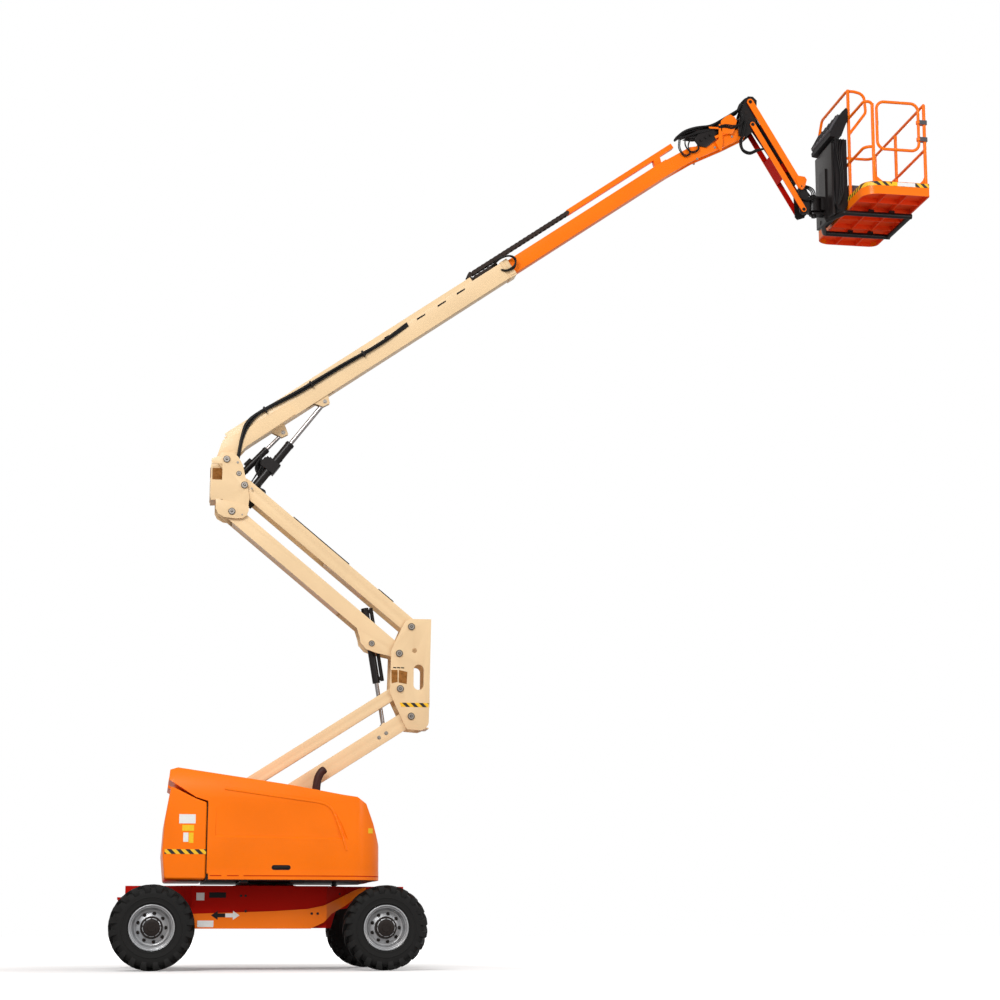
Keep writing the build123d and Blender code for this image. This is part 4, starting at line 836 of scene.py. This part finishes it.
ear.both_sides(BOOM, [(3.8, 0.02), (3.87, 0.02), (3.87, 0.2), (3.83, 0.2)], 0.1025, 0.112)
ear.piece("collar_plates", "main_boom", CREAM, bevel=0.003)

# ---------------------------------------------------------------- lift and levelling cylinders
tangle = Pile()
for index in range(7):
    y = -0.09 + 0.028 * index
    tangle.tube(
        [
            (-0.3 + 0.01 * index, y * 0.9, 4.86), (-0.2 + 0.02 * index, y, 4.98 + 0.01 * index),
            (-0.13 - 0.01 * index, y * 0.8, 5.12), (-0.2 + 0.015 * index, y, 5.27),
            (-0.14, y * 0.7, 5.4 + 0.012 * index),
        ],
        0.0085,
    )
tangle.piece("tower_head_hoses", "top_upright", HOSE, smooth=60)
fittings = Pile()
fittings.slab(LIFT, rect(0.43, 0.074, 0.55, 0.105), -0.085, 0.0)
fittings.slab(LIFT, rect(0.45, 0.104, 0.53, 0.12), -0.07, -0.02)
for u in (0.12, 0.4, 0.6, 0.79):
    fittings.prism(LIFT.at(u, 0, -0.04), LIFT.at(u + 0.02, 0, -0.04), 0.0505, 28)
fittings.piece("lift_cylinder_fittings", "lift_barrel", BLACK, smooth=35)
lines = Pile()
for index, y in enumerate((-0.075, -0.055, -0.012)):
    run = (0.06, 0.03 + 0.01 * index), (0.2, 0.058), (0.33, 0.066 + 0.006 * index), (0.44, 0.088)
    lines.tube([LIFT.at(u, v, y) for u, v in run], 0.0065)
lines.piece("lift_cylinder_lines", "lift_barrel", HOSE, smooth=60)
fittings = Pile()
fittings.slab(LEVEL, rect(0.15, 0.034, 0.24, 0.062), 0.035, 0.08)
for u in (0.1, 0.41):
    fittings.prism(LEVEL.at(u, 0, 0.055), LEVEL.at(u + 0.018, 0, 0.055), 0.0395, 28)
fittings.piece("level_cylinder_fittings", "level_barrel", BLACK, smooth=35)

# ---------------------------------------------------------------- boom nose, knuckle and jib
drape = Pile()
for index in range(9):
    y = -0.076 + 0.019 * index
    lift = 0.012 * math.sin(2.3 * index)
    drape.tube(
        [
            (4.5, y * 0.6, 9.33 + 0.3 * lift), (4.6, y, 9.405 + lift), (4.752, y * 1.05, 9.462 + lift),
            (4.912, y, 9.5 - lift), (5.074, y, 9.6 + 0.6 * lift), (5.15, y * 0.97, 9.652),
        ],
        0.0125,
    )
for index in range(5):
    y = -0.096 + 0.01 * index
    lift = 0.01 * math.sin(1.9 * index)
    drape.tube(
        [
            (4.545, y + 0.02, 9.315), (4.7, y, 9.372 + lift), (4.826, y, 9.41 - lift),
            (4.939, y, 9.45 + lift), (5.059, y, 9.481), (5.15, y, 9.478 + lift), (5.205, y, 9.52),
        ],
        0.0105,
    )
drape.piece("nose_hoses", "fly_boom", HOSE, smooth=60)
drape = Pile()
for index in range(2):
    y = -0.1 - 0.012 * index
    shift = 0.012 * index
    drape.tube(
        [
            (4.53 + shift, y + 0.03, 9.335), (4.518 + shift, y, 9.28), (4.516 + shift, y, 9.182),
            (4.576, y, 9.097 + shift), (4.648 - shift, y, 9.127), (4.625, y, 9.222),
            (4.658, y, 9.305 - shift), (4.713, y, 9.277), (4.752 - shift, y, 9.199),
            (4.704, y, 9.147 + shift), (4.64, y, 9.158), (4.59, y, 9.23), (4.6, y + 0.02, 9.33),
        ],
        0.0065,
    )
drape.piece("nose_loops", "fly_boom", HOSE, smooth=60)
block = Pile()
body = [(4.7, 9.3), (4.746, 9.375), (4.938, 9.445), (4.96, 9.323), (4.84, 9.22), (4.76, 9.23)]
block.slab(FLAT, body, -0.098, -0.0785)
hose_bed = [(4.6, 9.345), (4.75, 9.43), (4.93, 9.47), (5.06, 9.56), (5.12, 9.53), (4.98, 9.4), (4.72, 9.34)]
block.both_sides(FLAT, hose_bed, 0.044, 0.07)
for x, z in ((4.775, 9.3), (4.835, 9.335), (4.89, 9.37)):
    block.prism((x, -0.098, z), (x, -0.116, z), 0.014, 12)
    block.prism((x, -0.112, z), (x, -0.122, z), 0.009, 6)
block.piece("nose_valve_block", "fly_boom", BLACK, bevel=0.003)
bracket = Pile()
for outline in (
    [
        (4.99, 9.505), (5.026, 9.505), (5.034, 9.3), (5.02, 9.19), (4.996, 9.188), (4.948, 9.285),
        (4.984, 9.325),
    ],
    [
        (5.015, 9.547), (5.07, 9.602), (5.128, 9.632), (5.182, 9.6), (5.205, 9.561), (5.18, 9.46),
        (5.15, 9.398), (5.045, 9.39), (5.012, 9.43),
    ],
    [(4.869, 9.466), (4.997, 9.468), (4.997, 9.446), (4.88, 9.444)],
):
    bracket.slab(FLAT, outline, -0.112, -0.103)
stay = [(4.94, 9.36), (5.02, 9.4), (5.1, 9.42), (5.1, 9.4), (5.02, 9.37), (4.95, 9.33)]
bracket.slab(FLAT, stay, -0.105, -0.0785)
bracket.piece("nose_brackets", "fly_boom", ORANGE, bevel=0.002)
over = Pile()
for index in range(3):
    y = -0.118 - 0.008 * index
    over.tube(
        [
            (4.985, y + 0.02, 9.45 + 0.01 * index), (5.059, y, 9.47 + 0.012 * index),
            (5.15, y, 9.462 + 0.014 * index), (5.232 + 0.004 * index, y, 9.51),
            (5.262 + 0.008 * index, y + 0.004, 9.595), (5.25, y + 0.01, 9.68),
        ],
        0.0075,
    )
over_piece = make("nose_front_hoses", None, HOSE, over.verts, over.faces, smooth=60)
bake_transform(over_piece)
studs = Pile()
studs.side_bolts(BOOM, ((6.44, 0.0), (6.7, 0.0), (6.95, 0.0)), 0.0781, 0.01, 0.01)
studs.piece("nose_bolts", "fly_boom", STEEL)

loop = Pile()
for index in range(2):
    y = -0.112 - 0.016 * index
    step = 0.014 * index
    loop.tube(
        [
            (5.3 + 0.012 * index, y, 9.56), (5.262 + step, y - 0.006, 9.4), (5.232 + step, y - 0.01, 9.29),
            (5.265, y - 0.01, 9.195 + 0.012 * index), (5.345, y - 0.006, 9.165 + step),
            (5.43, y, 9.205 + 0.012 * index), (5.525, -0.105, 9.245),
        ],
        0.011,
    )
loop_piece = make("knuckle_loop", None, HOSE, loop.verts, loop.faces, smooth=60)
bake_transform(loop_piece)
loop = Pile()
for index in range(9):
    y = -0.076 + 0.019 * index
    loop.tube([(5.14, y * 0.97, 9.645), (5.205, y * 0.95, 9.69), (5.245, y * 0.9, 9.715)], 0.0125)
for index in range(3):
    y = -0.066 + 0.066 * index
    loop.tube(
        [
            (5.16, y, 9.655), (5.205, y, 9.69), (5.255, y * 1.05, 9.735),
            (5.3, y * 1.05, 9.825 + 0.006 * index), (5.36, y, 9.858), (5.4, y * 0.9, 9.8),
        ],
        0.0125,
    )
loop_piece = make("knuckle_hoses", None, HOSE, loop.verts, loop.faces, smooth=60)
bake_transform(loop_piece)
pins = Pile()
for s in (-1, 1):
    for x, z in ((5.2852, 9.4464), (5.3222, 9.6714), (5.3662, 9.5974)):
        pins.prism((x, s * 0.0995, z), (x, s * 0.104, z), 0.022, 20)
        pins.bolt((x, s * 0.1035, z), (0, s, 0), 0.009, 0.004)
pins.side_bolts(FLAT, ((5.3662, 9.7974), (5.3902, 9.5254)), 0.1258, 0.01, 0.008)
pins.piece("knuckle_pin_bolts", "knuckle", IRON)
jib_lines = Pile()
for index, y in enumerate((-0.075, -0.045, -0.015, 0.03, 0.07)):
    wave = 0.012 * math.sin(1.9 * index)
    run = (
        (0.02, 0.012, y), (0.2, wave, y), (0.5, -0.004, y * 0.95), (0.8, 0.004 - wave, y),
        (1.08, 0.0, y * 0.9),
    )
    jib_lines.tube([JIB.at(*place) for place in run], 0.01)
jib_lines.piece("jib_hoses", "jib_arm", HOSE, smooth=60)
flag = Pile()
shape = [(5.905, 8.94), (5.998, 8.93), (6.02, 8.896), (6.0, 8.816), (5.96, 8.77), (5.93, 8.8), (5.88, 8.905)]
flag.slab(FLAT, shape, -0.131, -0.1205)
flag.piece("jib_flag", "jib_arm", ORANGE, bevel=0.003)
pins = Pile()
pins.side_bolts(FLAT, ((5.9557, 8.8123), (5.9797, 8.5403)), 0.1258, 0.01, 0.008)
pins.piece("jib_head_bolts", "jib_head", IRON)
# inner faces of the jib's two beams get the painted shade red, a painted shadow between the beams
for node in ("jib_link", "jib_arm"):
    mesh = nodes[node].data
    mesh.materials.append(SHADE)
    for polygon in mesh.polygons:
        polygon.material_index = 1 if abs(polygon.center.y) < 0.112 else 0
loops = Pile()
for index in range(3):
    y = -0.108 - 0.013 * index
    r = 0.07 + 0.008 * index
    ringed = []
    for k in range(9):
        t = math.radians(150 + 40 * k)
        x = 6.005 + 0.006 * index + 1.15 * r * math.cos(t)
        ringed.append((x, y + 0.0025 * k, 8.735 + r * math.sin(t)))
    ringed.append((6.09, -0.075, 8.7))
    loops.tube(ringed, 0.0075)
loops.piece("rotator_loops", "jib_head", HOSE, smooth=60)
ROTATOR_X = 6.1337
rings = Pile()
for z in (8.5473, 8.69):
    rings.prism((ROTATOR_X, 0, z), (ROTATOR_X, 0, z + 0.018), 0.092, 40)
for x, y in arc(ROTATOR_X, 0, 0.07, 0, 324, 9):
    rings.bolt((x, y, 8.6973), (0, 0, 1), 0.008, 0.01)
rings.piece("rotator_rings", "jib_head", BLACK, smooth=35)

# ---------------------------------------------------------------- platform
back, front, reach = 6.43875, 7.19875, 0.915
bottom = 8.4903
REAR_CORNER, FRONT_CORNER = 0.18, 0.1
rail_left, rail_right, rail_side = back + 0.028, front - 0.028, 0.879


def plan_of_deck():
    """Points round the platform's plan, from the near rear corner on."""
    run = []
    for cx, cy, r, start in (
        (back, -reach, REAR_CORNER, 180), (front, -reach, 0.02, 270),
        (front, reach, FRONT_CORNER, 0), (back, reach, REAR_CORNER, 90),
    ):
        sx = 1 if cx == back else -1
        sy = 1 if cy < 0 else -1
        run += arc(cx + sx * r, cy + sy * r, r, start, start + 90, 8)
    return run


edge = plan_of_deck()
band = strip(edge[4:] + edge[:5], 0.004, (8.588, 8.636), 0.0012)
band.piece("toe_stripe", "platform", HAZARD)
plates = Pile()
plates.box((6.822, -0.9176, 8.59), (7.028, -0.9162, 8.634))
plates.piece("toe_plates", "platform", WHITE)
warm = Pile()
warm.box((6.755, -0.9176, 8.59), (6.818, -0.9162, 8.634))
warm.piece("toe_plates_yellow", "platform", YELLOW)

feet = Pile()
for x, y in (
    (rail_right, -rail_side), (rail_left + 0.097, -rail_side), (rail_left, -rail_side + 0.537),
    (rail_left, rail_side - 0.19), (rail_right, 0.05), (rail_right, rail_side - 0.12),
    (rail_left + 0.19, rail_side),
):
    feet.box((x - 0.024, y - 0.024, 8.5505), (x + 0.024, y + 0.024, 8.562))
feet.piece("post_feet", "platform", ORANGE, bevel=0.002)
gusset = Pile()
gusset.slab(FLAT, [(6.58, 8.642), (6.675, 8.642), (6.6, 8.7), (6.58, 8.76)], -0.882, -0.876)
gusset.slab(FLAT, [(7.155, 8.642), (7.09, 8.642), (7.135, 8.69), (7.155, 8.74)], -0.882, -0.876)
gusset.piece("post_gussets", "platform", ORANGE)
latch = Pile()
latch.box((6.6, -0.892, 9.3), (6.63, -0.866, 9.36))
latch.piece("gate_catch", "platform", STEEL, bevel=0.002)

# console lid, ribs, panel, sticks and stop knob
CON = Side((back, bottom))
face = Side((back - 0.21, bottom + 0.9), 60.0)
shell = Pile()
shell.slab(face, [(0.02, 0.0), (0.26, 0.0), (0.255, 0.03), (0.03, 0.025)], -0.355, 0.315)
shell.piece("console_lid", "platform", GREY, bevel=0.008)
ribs = Pile()
for k in range(6):
    y = -0.33 + 0.125 * k
    ribs.slab(face, [(0.04, 0.024), (0.24, 0.029), (0.24, 0.038), (0.04, 0.034)], y, y + 0.018)
ribs.piece("console_ribs", "platform", BLACK, bevel=0.002)
deck = Pile()
deck.slab(CON, [(-0.02, 1.195), (0.008, 1.19), (0.055, 1.1), (0.03, 1.09)], -0.3, 0.25)
deck.piece("console_panel", "platform", BLACK, bevel=0.004)
sticks = Pile()
for y in (-0.2, -0.02, 0.16):
    sticks.prism(CON.at(0.02, 1.17, y), CON.at(0.05, 1.25, y), 0.012, 12)
    sticks.prism(CON.at(0.048, 1.245, y), CON.at(0.06, 1.275, y), 0.02, 14, 0.016)
sticks.piece("console_sticks", "platform", PLASTIC, smooth=40)
knob = Pile()
knob.prism(CON.at(0.03, 1.155, 0.07), CON.at(0.052, 1.165, 0.07), 0.02, 18)
knob.piece("console_stop_knob", "platform", RED, smooth=40)

# black cover below the controls, with folds and hoses
folds = Pile()
for k in range(9):
    y = -0.3 + 0.07 * k
    wave = 0.006 * math.sin(2.3 * k)
    folds.tube(
        [
            (back - 0.141 + wave, y, 8.56), (back - 0.147 - wave, y + 0.012, 8.8),
            (back - 0.142 + wave, y - 0.008, 9.05), (back - 0.146, y + 0.006, 9.3),
        ],
        0.013, sides=6,
    )
folds.piece("cover_folds", "platform", PLASTIC, smooth=60)
runs = Pile()
for index, y in enumerate((-0.345, -0.36, -0.375)):
    runs.tube(
        [
            (back - 0.1 + 0.03 * index, -0.338, 9.33), (back - 0.12 + 0.02 * index, y, 9.15),
            (back - 0.085 + 0.01 * index, y - 0.006, 8.9), (back - 0.1 + 0.015 * index, y, 8.68),
            (back - 0.12, -0.3, 8.5), (back - 0.15, -0.2, 8.43),
        ],
        0.0095,
    )
runs.piece("cover_hoses", "platform", HOSE, smooth=60)
# the deck's underside and the faces below its top get the redder painted shade, apart from its rounded rim
deck_mesh = nodes["platform_deck"].data
deck_mesh.materials.append(UNDER_SHADE)
for polygon in deck_mesh.polygons:
    c = polygon.center
    in_shade = c.z < 8.5495 and abs(c.y) < 0.905 and 6.449 < c.x < 7.189
    from_back, from_side = c.x - back - REAR_CORNER, abs(c.y) - reach + REAR_CORNER
    if from_back < 0 < from_side:
        in_shade = in_shade and math.hypot(from_back, from_side) < REAR_CORNER - 0.015
    from_front, from_side = c.x - front + FRONT_CORNER, c.y - reach + FRONT_CORNER
    if from_front > 0 and from_side > 0:
        in_shade = in_shade and math.hypot(from_front, from_side) < FRONT_CORNER - 0.015
    polygon.material_index = 1 if in_shade or polygon.normal.z < -0.5 else 0

tub = Pile()
tub.box((back + 0.02, -0.3, 8.5505), (back + 0.16, -0.05, 8.8))
tub.piece("tool_tray", "platform", GREY, bevel=0.006)
strap = Pile()
for z in (9.1433, 9.3433):
    strap.box((7.1, -0.9055, z), (7.1935, -0.8995, z + 0.05))
    strap.box((7.1, -0.8585, z), (7.1935, -0.8525, z + 0.05))
    strap.box((7.1905, -0.9055, z), (7.1965, -0.8525, z + 0.05))
strap.piece("gate_straps", "platform", GREY, bevel=0.0015)
column = Pile()
column.box((6.262, -0.3, 8.44), (6.297, 0.3, 9.3))
column.box((6.2, -0.09, 8.56), (6.262, 0.09, 8.7))
column.piece("mast_cover", "platform", BLACK, bevel=0.004)
drains = Pile()
for y in (-0.6, -0.1, 0.4):
    drains.prism((6.56, y, 8.551), (6.56, y, 8.556), 0.03, 18)
drains.piece("deck_drain_plates", "platform", STEEL)

# ---------------------------------------------------------------- studio
# to the camera the floor is white, with a glow that grows from 2.6 m to 9.5 m out; to all else it is grey
stage_mesh = bpy.data.meshes.new("floor")
stage_mesh.from_pydata([(-90, -90, 0), (90, -90, 0), (90, 90, 0), (-90, 90, 0)], [], [(0, 1, 2, 3)])
floor = add_object("floor", stage_mesh)
ground = Shader("studio_floor")
ground.value("Base Color", (0.42, 0.42, 0.42, 1))
ground.value("Roughness", 1.0)
ground.value("Specular IOR Level", 0.0)
bright = ground.node("ShaderNodeBsdfDiffuse")
bright.inputs["Color"].default_value = (0.8, 0.8, 0.8, 1)
glow = ground.node("ShaderNodeEmission")
away = ground.node("ShaderNodeVectorMath", operation="LENGTH")
ground.link(ground.coord, away.inputs[0])
ground.link(ground.band(away.outputs["Value"], 2.6, 9.5, 0.16, 1.0), glow.inputs["Strength"])
both = ground.node("ShaderNodeAddShader")
ground.link(bright.outputs[0], both.inputs[0])
ground.link(glow.outputs[0], both.inputs[1])
seen = ground.node("ShaderNodeLightPath")
pick = ground.node("ShaderNodeMixShader")
ground.link(seen.outputs["Is Camera Ray"], pick.inputs[0])
ground.link(ground.bsdf.outputs[0], pick.inputs[1])
ground.link(both.outputs[0], pick.inputs[2])
ground.link(pick.outputs[0], ground.tree.nodes["Material Output"].inputs["Surface"])
floor.data.materials.append(ground.mat)

# soft light all round, and plain white where the camera looks past the floor
world = bpy.data.worlds.new("studio")
bpy.context.scene.world = world
world.use_nodes = True
tree = world.node_tree
soft = tree.nodes["Background"]
soft.inputs["Color"].default_value = (1.0, 0.99, 0.98, 1)
soft.inputs["Strength"].default_value = 0.66
clear = tree.nodes.new("ShaderNodeBackground")
clear.inputs["Color"].default_value = (1, 1, 1, 1)
choose = tree.nodes.new("ShaderNodeMixShader")
path = tree.nodes.new("ShaderNodeLightPath")
link = tree.links.new
link(path.outputs["Is Camera Ray"], choose.inputs[0])
link(soft.outputs[0], choose.inputs[1])
link(clear.outputs[0], choose.inputs[2])
link(choose.outputs[0], tree.nodes["World Output"].inputs["Surface"])


def area_light(name, location, target, size, power):
    data = bpy.data.lights.new(name, "AREA")
    data.shape = "DISK"
    data.size = size
    data.energy = power
    obj = add_object(name, data)
    obj.location = location
    obj.rotation_euler = (Vector(target) - Vector(location)).to_track_quat("-Z", "Y").to_euler()


area_light("key", (-6, -14, 13), (2, 0, 4), 8, 1900)
area_light("fill", (12, -10, 7), (3, 0, 4), 8, 450)
area_light("rim_light", (13, 10, 14), (3, 0, 5), 7, 700)

camera_data = bpy.data.cameras.new("camera")
camera = add_object("camera", camera_data)
bpy.context.scene.camera = camera
camera_data.lens = 76.59
camera_data.shift_x = -0.03
camera_data.shift_y = 0.05
camera.location = (-1.224, -22.553, 0.4)
camera.rotation_euler = (math.radians(100.119), 0, math.radians(-10.134))

bpy.context.scene.view_settings.view_transform = "Standard"
